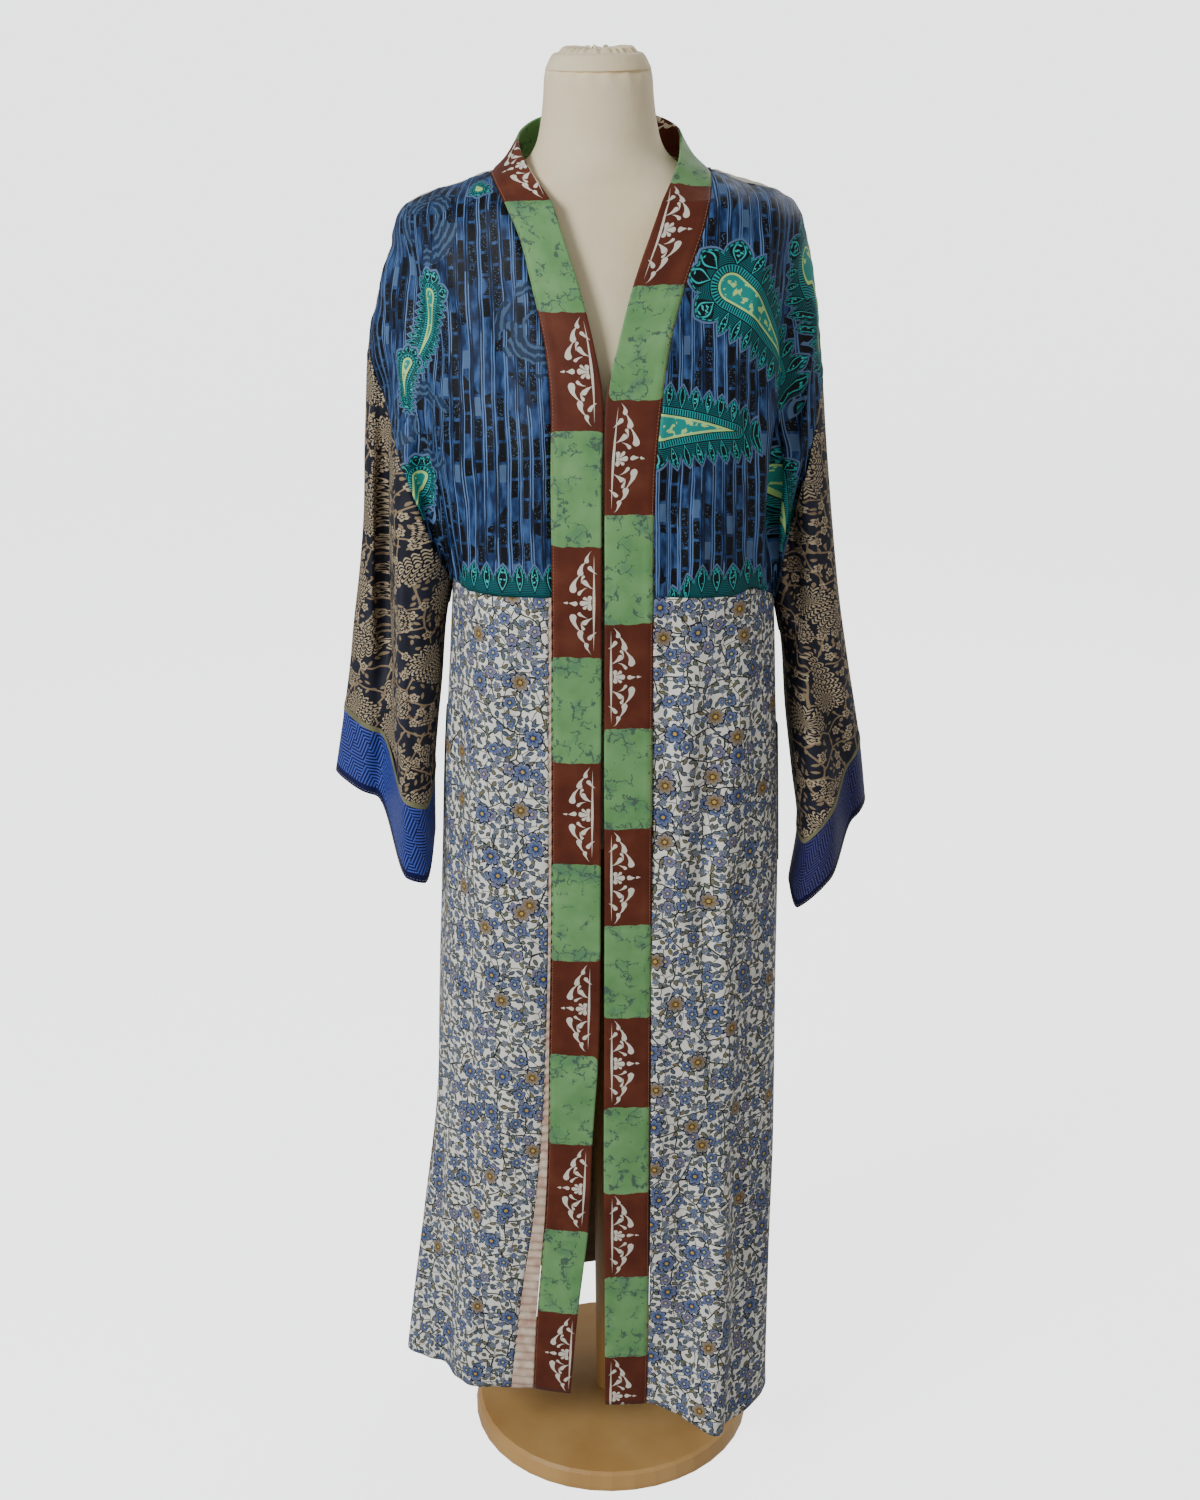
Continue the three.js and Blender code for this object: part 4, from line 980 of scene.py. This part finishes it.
def blue_print(body):
    def print_maker(tree, place):
        put = partial(add, tree)
        slow = put("TexNoise", {"Vector": place, "Scale": 0.014, "Detail": 2.0}, out="Color")
        shift = put("VectorMath", {0: slow, 1: (0.5, 0.5, 0.5)}, operation="SUBTRACT")
        warped = put("VectorMath", {0: shift, 1: (7.0, 7.0, 0.0), 2: place}, operation="MULTIPLY_ADD")
        split = put("SeparateXYZ", [warped])
        x, y = split, split.node.outputs[1]
        brush, patch, streak = (
            put("TexNoise", {"Vector": put("VectorMath", [start, (1.0, down, 1.0)], operation="MULTIPLY"),
                             "Scale": scale, "Detail": detail})
            for start, down, scale, detail in ((warped, 0.3, 0.16, 5.0), (place, 0.6, 0.02, 1.0),
                                               (warped, 0.05, 0.16, 1.0)))
        colour = put("ValToRGB", [brush], stops=[(0.3, "#0a1630"), (0.45, "#172d54"), (0.55, "#294876"),
            (0.72, "#45679c")])
        column = put("FLOOR", [["/", x, 11.0]])
        row_shift = put("TexWhiteNoise", {"Vector": ["CombineXYZ", column, 3.0, 0.0]})
        place_down = put("+", [["/", y, 20.0], ["*", row_shift, 5.0]])
        chance = put("TexWhiteNoise", {"Vector": ["CombineXYZ", column, ["FLOOR", place_down], 0.0]})
        across = put("FRACT", [["/", x, 11.0]])
        broken = put("TexNoise", {"Vector": place, "Scale": 0.5, "Detail": 2.0})
        block = put("*", [["<", across, 0.55], ["<", ["FRACT", place_down], 0.86]])
        dark = put("*", [block, ["*", ["<", chance, 0.76], ["<", patch, 0.57]]])
        colour = put("Mix", [["*", ["*", block, 0.7], [">", chance, 0.93]], colour, "#5b7699"])
        colour = put("Mix", [["*", dark, ["<", broken, 0.66]], colour, "#05050b"])
        fleck = put("TexVoronoi", {"Vector": place, "Scale": 0.5})
        speckled = put("*", [["<", fleck, 0.25], [">", chance, 0.35]])
        colour = put("Mix", [["*", dark, speckled], colour, "#4a6688"])
        fine_lines = put(">", [["SINE", ["*", x, 2.6]], 0.1])
        pale = put("*", [["*", fine_lines, [">", across, 0.58]], [">", streak, 0.47]])
        colour = put("Mix", [["*", pale, 0.8], colour, "#6a8bbd"])
        gap = put("*", [["-", 1.0, fine_lines], [">", across, 0.58]])
        colour = put("Mix", [["*", gap, ["<", streak, 0.56]], colour, "#0b1424"])
        inside, chance, _, _ = scattered(tree, place, 150, 2)
        far = put("VectorMath", [inside], operation="LENGTH", out="Value")
        worn = put("TexNoise", {"Vector": place, "Scale": 0.035, "Detail": 2.0})
        rings = put(">", [["SINE", ["+", ["*", far, 0.9], ["*", brush, 9.0]]], 0.3])
        round_mask = put("*", [["<", ["ABSOLUTE", ["-", far, 30.0]], 15.0], ["<", chance, 0.5]])
        round_mask = put("*", [round_mask, [">", worn, 0.48]])
        ringed = put("ValToRGB", [rings], stops=[(0, "#1c2f4c"), (1, "#46617f")])
        colour = put("Mix", [["*", round_mask, 0.9], colour, ringed])
        for row in PAISLEYS[body].rows:
            head = row["head"]
            u, v = flat_place(f"{body}_front_cloth", row["x"], row["z"])
            local = put("VectorMath", {0: place, 1: (u, v, 0.0)}, operation="SUBTRACT")
            drop = put("Group", {"Place": local, **drop_shape(row)}, node_tree=DROP)
            along = drop.node.outputs["Along"]
            colour = leafy(tree, colour, put("-", [drop, 0.55 * head]), along, head * 0.95, head * 1.65)
            comb = put("<", [["FRACT", ["/", along, 2.3]], 0.55])
            core = put("ValToRGB", [drop], hard=True, stops=[(-30, "#1f8f86"), (-2.6, "#b9e08a"),
                (-0.4, "#06181c"), (0.4, "#17a3a3"), (0.5 * head, "#06181c"), (0.5 * head + 0.9, "#06181c")])
            teeth = put("*", [comb, ["*", [">", drop, 0.6], ["<", drop, 0.5 * head - 0.4]]])
            core = put("Mix", [teeth, core, "#082a30"])
            mottle = put("TexNoise", {"Vector": place, "Scale": 0.14, "Detail": 3.0})
            core = put("Mix", [["*", [">", mottle, 0.58], ["<", drop, -1.0]], core, "#b9e08a"])
            colour = put("Mix", [["<", drop, 0.5 * head + 0.8], colour, core])
        waist_edge = put("SeparateXYZ", [put("UVMap", uv_map="edge_mm")])
        middle, half = (95.0, 42.0) if body == "right" else (-120.0, 26.0)
        past_end = put("MAXIMUM", [["-", ["ABSOLUTE", ["+", x, middle]], half], 0.0])
        waist_row = put("+", [["-", waist_edge, 6.0], ["*", past_end, 0.8]])
        return leafy(tree, colour, waist_row, x, 15.0, 26.0)
    return print_maker


def leafy(tree, ground, away, along, pitch, tall):
    """Lays a ring of pointed leaves over the ground colour"""
    ring = add(tree, "Group", {"Away": away, "Along": along, "Pitch": pitch, "Tall": tall},
        node_tree=LEAF_RING)
    return add(tree, "Mix", [ring.node.outputs["Cover"], ground, ring])


FLOWERS = [
    # cell size, share of cells, petal radius, petals, edge colour, petal colours, middle
    (14, 0.7, 4.4, 5, "#2f3638", ("#5f6c88", "#3f5a90"), "#c4ae70"),
    (25, 0.72, 7.4, 5, "#182340", ("#33497c", "#655f82"), "#d6c98c"),
    (44, 0.72, 11.0, 7, "#121b3a", ("#2c4478", "#80631f"), "#c9a550"),
]


PAISLEY_LINES = [
    # cell size, share of cells, head, length, bend, gap between the lines
    (31, 0.55, 5.2, 17.0, 0.7, 3.2),
    (74, 0.85, 13.0, 44.0, 0.55, 4.2),
]


def blades(tree, place, size, seed, slim):
    """Small pointed leaves, one in each cell: below 1 inside a leaf, with the cell's own chance"""
    put = partial(add, tree)
    leaf, chance, turn, _ = scattered(tree, place, size, seed)
    turned = put("VectorRotate", {"Vector": leaf, "Angle": ["*", turn, FULL_TURN]}, rotation_type="Z_AXIS")
    split = put("SeparateXYZ", [turned])
    x, y = split, split.node.outputs[1]
    long = put("*", [["*", y, y], slim])
    return put("+", [["*", ["ABSOLUTE", x], 0.62], long]), chance


def motifs(tree, place, size, seed, shape, **measures):
    """One motif in each cell, turned its own way: its first output, the cell's chance and its pick"""
    inside, chance, turn, pick = scattered(tree, place, size, seed)
    links = {"Place": inside, "Angle": ["*", turn, FULL_TURN], **measures}
    return add(tree, "Group", links, node_tree=shape), chance, pick


def sleeve_print(tree, place):
    put = partial(add, tree)
    tan, pale, dark = tint("#937e62"), tint("#bda98a"), tint("#191a24")
    warped = waved(tree, place, 0.03, 2.0, 9.0)
    ground = put("TexNoise", {"Vector": place, "Scale": 0.02, "Detail": 3.0})
    colour = put("ValToRGB", [ground], stops=[(0.35, "#191a24"), (0.65, "#292a38")])
    vine = put("TexVoronoi", {"Vector": warped, "Scale": 1 / 30, "Randomness": 0.85},
        feature="DISTANCE_TO_EDGE", voronoi_dimensions="2D")
    colour = put("Mix", [["<", vine, 0.03], colour, tan])
    blade, chance = blades(tree, warped, 7.5, 5, 0.09)
    colour = put("Mix", [["*", ["<", blade, 0.95], ["<", chance, 0.62]], colour, tan])
    sprig, chance, _ = motifs(tree, place, 15, 3, FLOWER, Size=4.9, Petals=5, Depth=0.45)
    shown = put("<", [chance, 0.6])
    colour = put("Mix", [["*", ["<", sprig, 1.0], shown], colour, pale])
    colour = put("Mix", [["*", ["<", ["ABSOLUTE", ["-", sprig, 0.42]], 0.13], shown], colour, dark])
    for cell, share, head, length, bend, gap in PAISLEY_LINES:
        away, chance, _ = motifs(tree, place, cell, cell, DROP, Head=head, Length=length, Bend=bend)
        along = away.node.outputs["Along"]
        frill = put("*", [["ABSOLUTE", ["SINE", ["*", along, 7.5 / head]]], 0.3 * head])
        ring = put("-", [away, frill])
        lines = put("<", [["FRACT", ["/", ["+", ring, 20 * gap], gap]], 0.5])
        beads = put(">", [["SINE", ["*", along, 1.1]], -0.88])
        face = put("Mix", [["*", lines, beads], dark, pale])
        colour = put("Mix", [["*", ["<", ring, 0.3 * head], ["<", chance, share]], colour, face])
    return colour


def floral_print(tree, place):
    put = partial(add, tree)
    warped = waved(tree, place, 0.05, 2.0, 8.0)
    colour = tint("#f4f0e6")
    for size, line in ((27, 0.028), (16, 0.024)):
        vine = put("TexVoronoi", {"Vector": warped, "Scale": 1 / size, "Randomness": 0.8},
            feature="DISTANCE_TO_EDGE", voronoi_dimensions="2D")
        colour = put("Mix", [["<", vine, line], colour, "#30332f"])
    blade, chance = blades(tree, warped, 7.6, 1, 0.075)
    leaves = put("ValToRGB", [chance], stops=[(0, "#6c7360"), (0.5, "#58657c"), (1, "#857a50")])
    colour = put("Mix", [["<", blade, 1.35], colour, "#2c2e2a"])
    colour = put("Mix", [["<", blade, 0.85], colour, leaves])
    for cell, share, radius, petals, edge, shades, middle in FLOWERS:
        ring, chance, pick = motifs(tree, place, cell, cell, FLOWER, Size=radius, Petals=petals, Depth=0.36)
        petal = put("ValToRGB", [pick], hard=True, stops=[(0, shades[0]), (0.6, shades[1]), (1, shades[1])])
        full = put("ValToRGB", [ring], hard=True, stops=[(0, middle), (0.2, edge), (0.3, "#ffffff"),
            (0.84, edge), (1, edge)])
        is_petal = put("*", [[">", ring, 0.3], ["<", ring, 0.84]])
        inner = put("MapRange", [ring, 0.3, 0.8, 0.0, 0.3])
        full = put("Mix", [is_petal, full, ["Mix", inner, petal, "#c3c9da"]])
        colour = put("Mix", [["*", ["<", ring, 1.0], ["<", chance, share]], colour, full])
    return colour


def herringbone(ground, line):
    def print_maker(tree, place):
        put = partial(add, tree)
        cell = 21.0
        split = put("SeparateXYZ", [place])
        x, y = (put("/", [way, cell]) for way in (split, split.node.outputs[1]))
        row = put("FLOOR", [y])
        turned = put("<", [["FRACT", ["*", ["+", ["FLOOR", ["-", x, y]], row], 0.5]], 0.4])
        slant = put("Mix", {0: turned, 2: ["+", x, ["*", y, 0.15]], 3: ["+", y, ["*", x, 0.15]]})
        lines = put("PINGPONG", [["*", slant, 6.0], 0.5])
        colour = put("ValToRGB", [lines], stops=[(0, ground), (0.2, ground), (0.36, line), (0.5, line)])
        hem = put("SeparateXYZ", [put("UVMap", uv_map="edge_mm")])
        return put("Mix", [["<", hem.node.outputs[1], 9.0], colour, tint(ground)])
    return print_maker


def plain_print(code, other, size=0.03):
    def print_maker(tree, place):
        put = partial(add, tree)
        cloud = put("TexNoise", {"Vector": place, "Scale": size, "Detail": 4.0})
        return put("ValToRGB", [cloud], stops=[(0.35, code), (0.65, other)])
    return print_maker


def teal_print(tree, place):
    put = partial(add, tree)
    split = put("SeparateXYZ", [place])
    x, y = split, split.node.outputs[1]
    slant = put("FRACT", [["/", ["+", ["*", x, 0.55], y], 7.5]])
    colour = put("Mix", [["<", slant, 0.4], "#4f9aa0", "#17353c"])
    return put("Mix", [["<", x, 7.0], colour, "#7cc4c4"])


def ochre_print(tree, place):
    put = partial(add, tree)
    drop, _, _ = motifs(tree, place, 44, 7, DROP, Head=8.0, Length=26.0, Bend=0.7)
    wave = put("<", [["FRACT", ["/", ["+", drop, 90.0], 9.0]], 0.24])
    colour = put("Mix", [wave, plain_print("#6e4710", "#835b18")(tree, place), "#b3a27c"])
    return put("Mix", [["<", ["ABSOLUTE", ["+", drop, 2.5]], 0.8], colour, "#4a2f12"])


# Each band: where its first green block starts above the hem, and the length of one block
BLOCKS = {"left": (65.0, 107.1), "right": (108.0, 109.7)}
# The half medallion on a brown block: each leaf's round end, how far in from the meeting edge and
# up from the middle, then the way its stalk points, its head, length and bend
SCROLLS = Table("in_ up angle head length bend", [13, 0, -1.57, 2.6, 9, 0], [6, 5, 3.1, 2.1, 6, 0.2],
    [11, 5, -2.3, 1.6, 6, 0], [20, 0, 1.57, 2.3, 6, 0], [28, 0, 1.57, 1.2, 3.5, 0],
    [22, 14, 0.15, 3.3, 15, -0.85], [15, 30, 0.15, 2.9, 12, -0.8], [9, 42, 0.2, 2.2, 8, -0.8],
    [11, 20, -2.5, 2.5, 10, 0.3], [16, 10, -0.6, 1.7, 8, -0.5], [6, 35, -2.6, 2.1, 9, 0.3],
    [12, 26, 2.4, 1.5, 7, 0.5], [2, 1, 0.0, 1.3, 47, 0.0])


def scroll_cover(tree, inward, along):
    """Where the scrolls cover a brown block: inward from the bands' meeting edge, along from its middle"""
    put = partial(add, tree)
    local = put("CombineXYZ", [inward, ["ABSOLUTE", along], 0.0])
    cover = None
    for row in SCROLLS.rows:
        inside = put("VectorMath", {0: local, 1: (row["in_"], row["up"], 0.0)}, operation="SUBTRACT")
        drop = put("Group", {"Place": inside, **drop_shape(row)}, node_tree=DROP)
        cover = drop if cover is None else put("MINIMUM", [cover, drop])
    return put("<", [cover, 0.0])


def band_paint(body):
    def print_maker(tree, place):
        put = partial(add, tree)
        split = put("SeparateXYZ", [place])
        u, v = split, split.node.outputs[1]
        start, pitch = BLOCKS[body]
        wave = put("TexNoise", {"Vector": place, "Scale": 0.07, "Detail": 2.0})
        wavy = put("+", [u, ["*", ["-", wave, 0.5], 5.0]])
        block = put("/", [["-", wavy, start - 40 * pitch], pitch])
        odd = put("MODULO", [["FLOOR", block], 2.0])
        along = put("*", [["-", ["FRACT", block], 0.5], pitch])
        width, corner = 51.0, 7.0
        side = put("-", [["ABSOLUTE", ["-", v, 0.5 * width - 1.0]], 0.5 * width - corner + 1.0])
        tall = put("-", [["ABSOLUTE", along], 0.5 * pitch - corner])
        rounded = put("VectorMath", [["CombineXYZ", ["MAXIMUM", side, 0.0], ["MAXIMUM", tall, 0.0], 0.0]],
                    operation="LENGTH", out="Value")
        is_green = put("*", [["<", odd, 0.5], ["<", rounded, corner]])
        cloud = put("TexNoise", {"Vector": place, "Scale": 0.03, "Detail": 4.0})
        brown = put("ValToRGB", [cloud], stops=[(0.3, "#552415"), (0.5, "#612c1b"), (0.7, "#6d3723")])
        green = put("ValToRGB", [cloud], stops=[(0.3, "#63955a"), (0.5, "#72a366"), (0.7, "#7fae72")])
        warped = waved(tree, place, 0.12, 3.0, 22.0)
        crack = put("TexVoronoi", {"Vector": warped, "Scale": 1 / 15}, feature="DISTANCE_TO_EDGE")
        where = put("TexNoise", {"Vector": place, "Scale": 0.055, "Detail": 3.0})
        near_end = put("*", [["-", ["ABSOLUTE", along], 22.0], 0.0035])
        where = put("+", [where, ["MAXIMUM", near_end, 0.0]])
        marks = put("*", [["<", crack, 0.045], [">", where, 0.53]])
        stain = put("MapRange", [where, 0.56, 0.72, 0.0, 0.75])
        green = put("Mix", [stain, green, "#5d8a66"])
        green = put("Mix", [["*", marks, 0.85], green, "#4a5f55"])
        inward = put("-", [SHELLS[f"{body}_band_cloth"]["wide"], v])
        scrolls = put("*", [scroll_cover(tree, inward, along), [">", odd, 0.5]])
        colour = put("Mix", [scrolls, brown, "#e8e0cf"])
        return put("Mix", [is_green, colour, green])
    return print_maker


def side_of(node):
    return "left" if "left" in node else "right"


def kind_of(node):
    """A piece's kind, which is the same for the wearer's left and right"""
    return "band" if "band" in node else node.replace("left_", "").replace("right_", "")


# Each cloth: its name and print, then gloss, sheen, weave in mm, weave height, slack and coat
FINISH = {
    # A matt crepe, so that its tan lines stand out of the dark ground
    "sleeve": ("printed_silk_crepe_tan_paisley", sleeve_print, 0.5, 0.0, 0.45, 0.05, 0.5),
    # A thin dull green-brown line round the arm
    "cuff_piping": ("khaki_silk", plain_print("#6f6d50", "#858262"), 0.5, 0.08, 0.4, 0.05),
    # A light soft silk with small slack waves under its flowers
    "front_skirt": ("printed_silk_flowers", floral_print, 0.48, 0.03, 0.45, 0.05, 0.7),
    # A bright stripe of colour in the side seam
    "pocket": ("printed_silk_teal", teal_print, 0.45),
    # A quiet pale ground with a coarser weave
    "back_upper": ("plain_cream_silk", plain_print("#d8d1c0", "#ded8c9"), 0.45, 0.08, 0.5, 0.06, 0.6),
    # A warm deep colour behind the pale fronts
    "back_skirt": ("printed_silk_ochre", ochre_print, 0.48, 0.03, 0.45, 0.05, 0.6),
    # The shiniest cloth, with lights on each pucker
    "satin_strip": ("puckered_satin", plain_print("#e6d3bb", "#c99f8b", 0.08), 0.25, 0.08, 0.35, 0.03, 0.6,
                    0.1),
}
# The cuffs' ground and line colours. Both cuffs are one silk; the wearer's left cuff, away from the key lamp,
# gets a darker, duller copy, which is painted shade
HERRINGBONE_WITH_SHADED_LEFT = {"left": ("#121036", "#4c4c86"), "right": ("#0e1246", "#4c60c0")}
for body in SIGN:
    # A dense dark satin without sheen, so that its blues stay deep
    FINISH[f"{body}_front_upper"] = (f"printed_silk_satin_{body}", blue_print(body),
                                     0.54, 0.0, 0.4, 0.04, 0.7)
    # A smooth silk whose slanted lines change from block to block; the left cuff's darker, duller colours are
    # painted shade
    FINISH[f"{body}_cuff"] = (f"herringbone_silk_{body}", herringbone(*HERRINGBONE_WITH_SHADED_LEFT[body]),
                              0.38, 0.05, 0.5, 0.06, 0.3)
    # A firm flat silk with large plain blocks
    FINISH[f"neck_band_{body}"] = (f"printed_silk_band_{body}", band_paint(body),
                                   0.55, 0.06, 0.45, 0.05, 0.35)
# The sleeve's silk turned up inside the cuff, and the dull back of the ochre silk in the front gap
DULL = plain_print("#5d5241", "#6f6350", 0.05)
WRONG_SIDE = {
    "cuff": cloth_material("sleeve_silk_inside_the_cuff", sleeve_print, 0.5, 0.05, 0.45, 0.05, 0.5),
    "back_skirt": cloth_material("ochre_silk_wrong_side", DULL, 0.55, 0.05),
}
made = {}
for node, piece in pieces.items():
    key = node if node in FINISH else kind_of(node)
    if key not in made:
        made[key] = cloth_material(*FINISH[key])
    piece.data.materials.append(made[key])
    piece.data.materials.append(WRONG_SIDE.get(kind_of(node), made[key]))


def cover_material(name, shader_values, colour_stops, grain_scale, grain_stretch, bump_height):
    """A plain surface in object coordinates, in metres: colour variation and a fine bump"""
    material = bpy.data.materials.new(name)
    material.use_nodes = True
    tree = material.node_tree
    put = partial(add, tree)
    shader = tree.nodes["Principled BSDF"]
    place = put("TexCoord", out="Object")
    place = put("VectorMath", [place, grain_stretch], operation="MULTIPLY")
    grain = put("TexNoise", {"Vector": place, "Scale": grain_scale, "Detail": 5.0})
    tree.links.new(put("ValToRGB", [grain], stops=colour_stops), shader.inputs["Base Color"])
    weave = put("TexNoise", {"Vector": place, "Scale": grain_scale * 9, "Detail": 2.0})
    knit = put("Bump", {"Strength": 0.6, "Distance": bump_height, "Height": weave})
    tree.links.new(knit, shader.inputs["Normal"])
    for key, value in shader_values.items():
        shader.inputs[key].default_value = value
    return material


# A soft knit that scatters the light, warm lacquered wood with a weak shine, and dull sewing thread
jersey = cover_material("cream_jersey", {"Roughness": 0.85, "Sheen Weight": 0.25, "IOR": 1.5},
                        [(0.35, "#efd9ae"), (0.65, "#f5e4c0")], 14.0, (1, 1, 1), 0.0006)
beech = cover_material("lacquered_beech",
                       {"Roughness": 0.35, "IOR": 1.5, "Coat Weight": 0.2, "Coat Roughness": 0.3},
                       [(0.3, "#b98a4e"), (0.5, "#c79a5c"), (0.7, "#d1a86c")], 9.0, (1, 1, 0.08), 0.0003)
thread = cover_material("rust_thread", {"Roughness": 0.6, "Sheen Weight": 0.2, "IOR": 1.5},
                        [(0.35, "#8a5a3c"), (0.65, "#a67350")], 300.0, (1, 1, 1), 0.0002)
pale_thread = cover_material("pale_thread", {"Roughness": 0.6, "Sheen Weight": 0.2, "IOR": 1.5},
                             [(0.35, "#8f8a80"), (0.65, "#aaa598")], 300.0, (1, 1, 1), 0.0002)
for node, rows in SEWN.items():
    for row in rows:
        row.data.materials.append(thread if "band" in node else pale_thread)
        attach(row, "root")
for node, piece in form_pieces.items():
    piece.data.materials.append(jersey)
    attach(piece, "root")
    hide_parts(node)
for node in ("pole", "base"):
    for place in bpy.data.objects[node].material_slots:
        place.material = beech


# The cut of what shows of each piece, all round on a tube, in millimetres: flat width, flat length
# and its share of that rectangle
CUT = {
    "front_upper": (275, 460, 0.64), "sleeve": (530, 330, 0.6), "cuff": (385, 78, 0.8),
    "cuff_piping": (370, 10, 0.5), "front_skirt": (275, 935, 0.8), "pocket": (13, 157, 0.9),
    "band": (50, 1550, 0.96), "back_upper": (815, 440, 0.57), "back_skirt": (560, 930, 0.9),
    "satin_strip": (26, 935, 0.4),
}
HANGS_ON = {
    "front_upper": ["dress_form"], "back_upper": ["dress_form"], "band": ["dress_form"],
    "sleeve": ["BODY_front_upper", "back_upper"], "cuff": ["BODY_sleeve"], "cuff_piping": ["BODY_sleeve"],
    "front_skirt": ["BODY_front_upper"], "back_skirt": ["back_upper"], "pocket": ["BODY_front_skirt"],
    "satin_strip": ["right_front_skirt"],
}
for node, piece in pieces.items():
    kind = kind_of(node)
    width, length, share = CUT[kind]
    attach(piece, "root")
    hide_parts(node)
    holders = [name.replace("BODY", side_of(node)) for name in HANGS_ON[kind]]


# The camera, the studio light and the floor

camera_data = bpy.data.cameras.new("camera")
camera = bpy.data.objects.new("camera", camera_data)
bpy.context.scene.collection.objects.link(camera)
camera_data.sensor_width = 36
camera_data.lens = 48.384
pitch, roll = math.radians(21.6), math.radians(0.6)
ahead = Vector((0, math.cos(pitch), -math.sin(pitch)))
level = Vector((0, math.sin(pitch), math.cos(pitch)))
right = math.cos(roll) * Vector((1, 0, 0)) - math.sin(roll) * level
up = math.sin(roll) * Vector((1, 0, 0)) + math.cos(roll) * level
stand_point = Matrix.Translation((-0.005, -1.980, 1.625))
camera.matrix_world = stand_point @ Matrix((right, up, -ahead)).transposed().to_4x4()
bpy.context.scene.camera = camera


def lamp(name, place, aim, size, watts, colour):
    """A soft square lamp that shines on one point"""
    data = bpy.data.lights.new(name, "AREA")
    data.size = size
    data.energy = watts
    data.color = colour
    item = bpy.data.objects.new(name, data)
    bpy.context.scene.collection.objects.link(item)
    item.location = place
    item.rotation_euler = (Vector(aim) - Vector(place)).to_track_quat("-Z", "Y").to_euler()


lamp("key", (-2.3, -2.2, 2.5), (0, 0, 0.9), 1.2, 108, (0.93, 0.97, 1.0))
lamp("fill", (2.6, -1.9, 1.6), (0, 0, 0.8), 2.4, 9, (1.0, 0.92, 0.84))
lamp("rim", (1.4, 2.0, 2.3), (0, 0, 1.0), 1.6, 22, (1.0, 0.98, 0.95))
world = bpy.data.worlds.new("studio")
world.use_nodes = True
world.node_tree.nodes["Background"].inputs["Color"].default_value = tint("#f2f3f4")
world.node_tree.nodes["Background"].inputs["Strength"].default_value = 0.42
bpy.context.scene.world = world

# A pale round floor that turns up into a wall all round
reach, bend, top = 5.0, 1.6, 6.5
profile = [(0.02, 0.0), (reach, 0.0)]
profile += [(reach + bend * math.sin(t), bend - bend * math.cos(t)) for t in np.linspace(0, np.pi / 2, 17)]
profile.append((reach + bend, top))
turns = np.arange(96) * 2 * np.pi / 96
points = [(r * math.cos(t), r * math.sin(t), z) for r, z in profile for t in turns]
sides = [(96 * r + k, 96 * r + 96 + k, 96 * r + 96 + (k + 1) % 96, 96 * r + (k + 1) % 96)
         for r in range(len(profile) - 1) for k in range(96)]
sides.append(tuple(range(96)))
floor = new_piece("floor", points, sides)
paper = bpy.data.materials.new("pale_backdrop_paper")
paper.use_nodes = True
put = partial(add, paper.node_tree)
grain = put("TexNoise", {"Scale": 90.0, "Detail": 2.0})
paper_colour = put("ValToRGB", [grain], stops=[(0.3, "#e9e9e9"), (0.7, "#ececec")])
shader = paper.node_tree.nodes["Principled BSDF"]
paper.node_tree.links.new(paper_colour, shader.inputs["Base Color"])
shader.inputs["Roughness"].default_value = 0.95
shader.inputs["Emission Color"].default_value = tint("#f4f5f6")
shader.inputs["Emission Strength"].default_value = 2.5
floor.data.materials.append(paper)
# The backdrop glows for the eye only, so that the lamps alone shape the cloth
floor.visible_diffuse = False
floor.visible_glossy = False
floor.visible_shadow = False
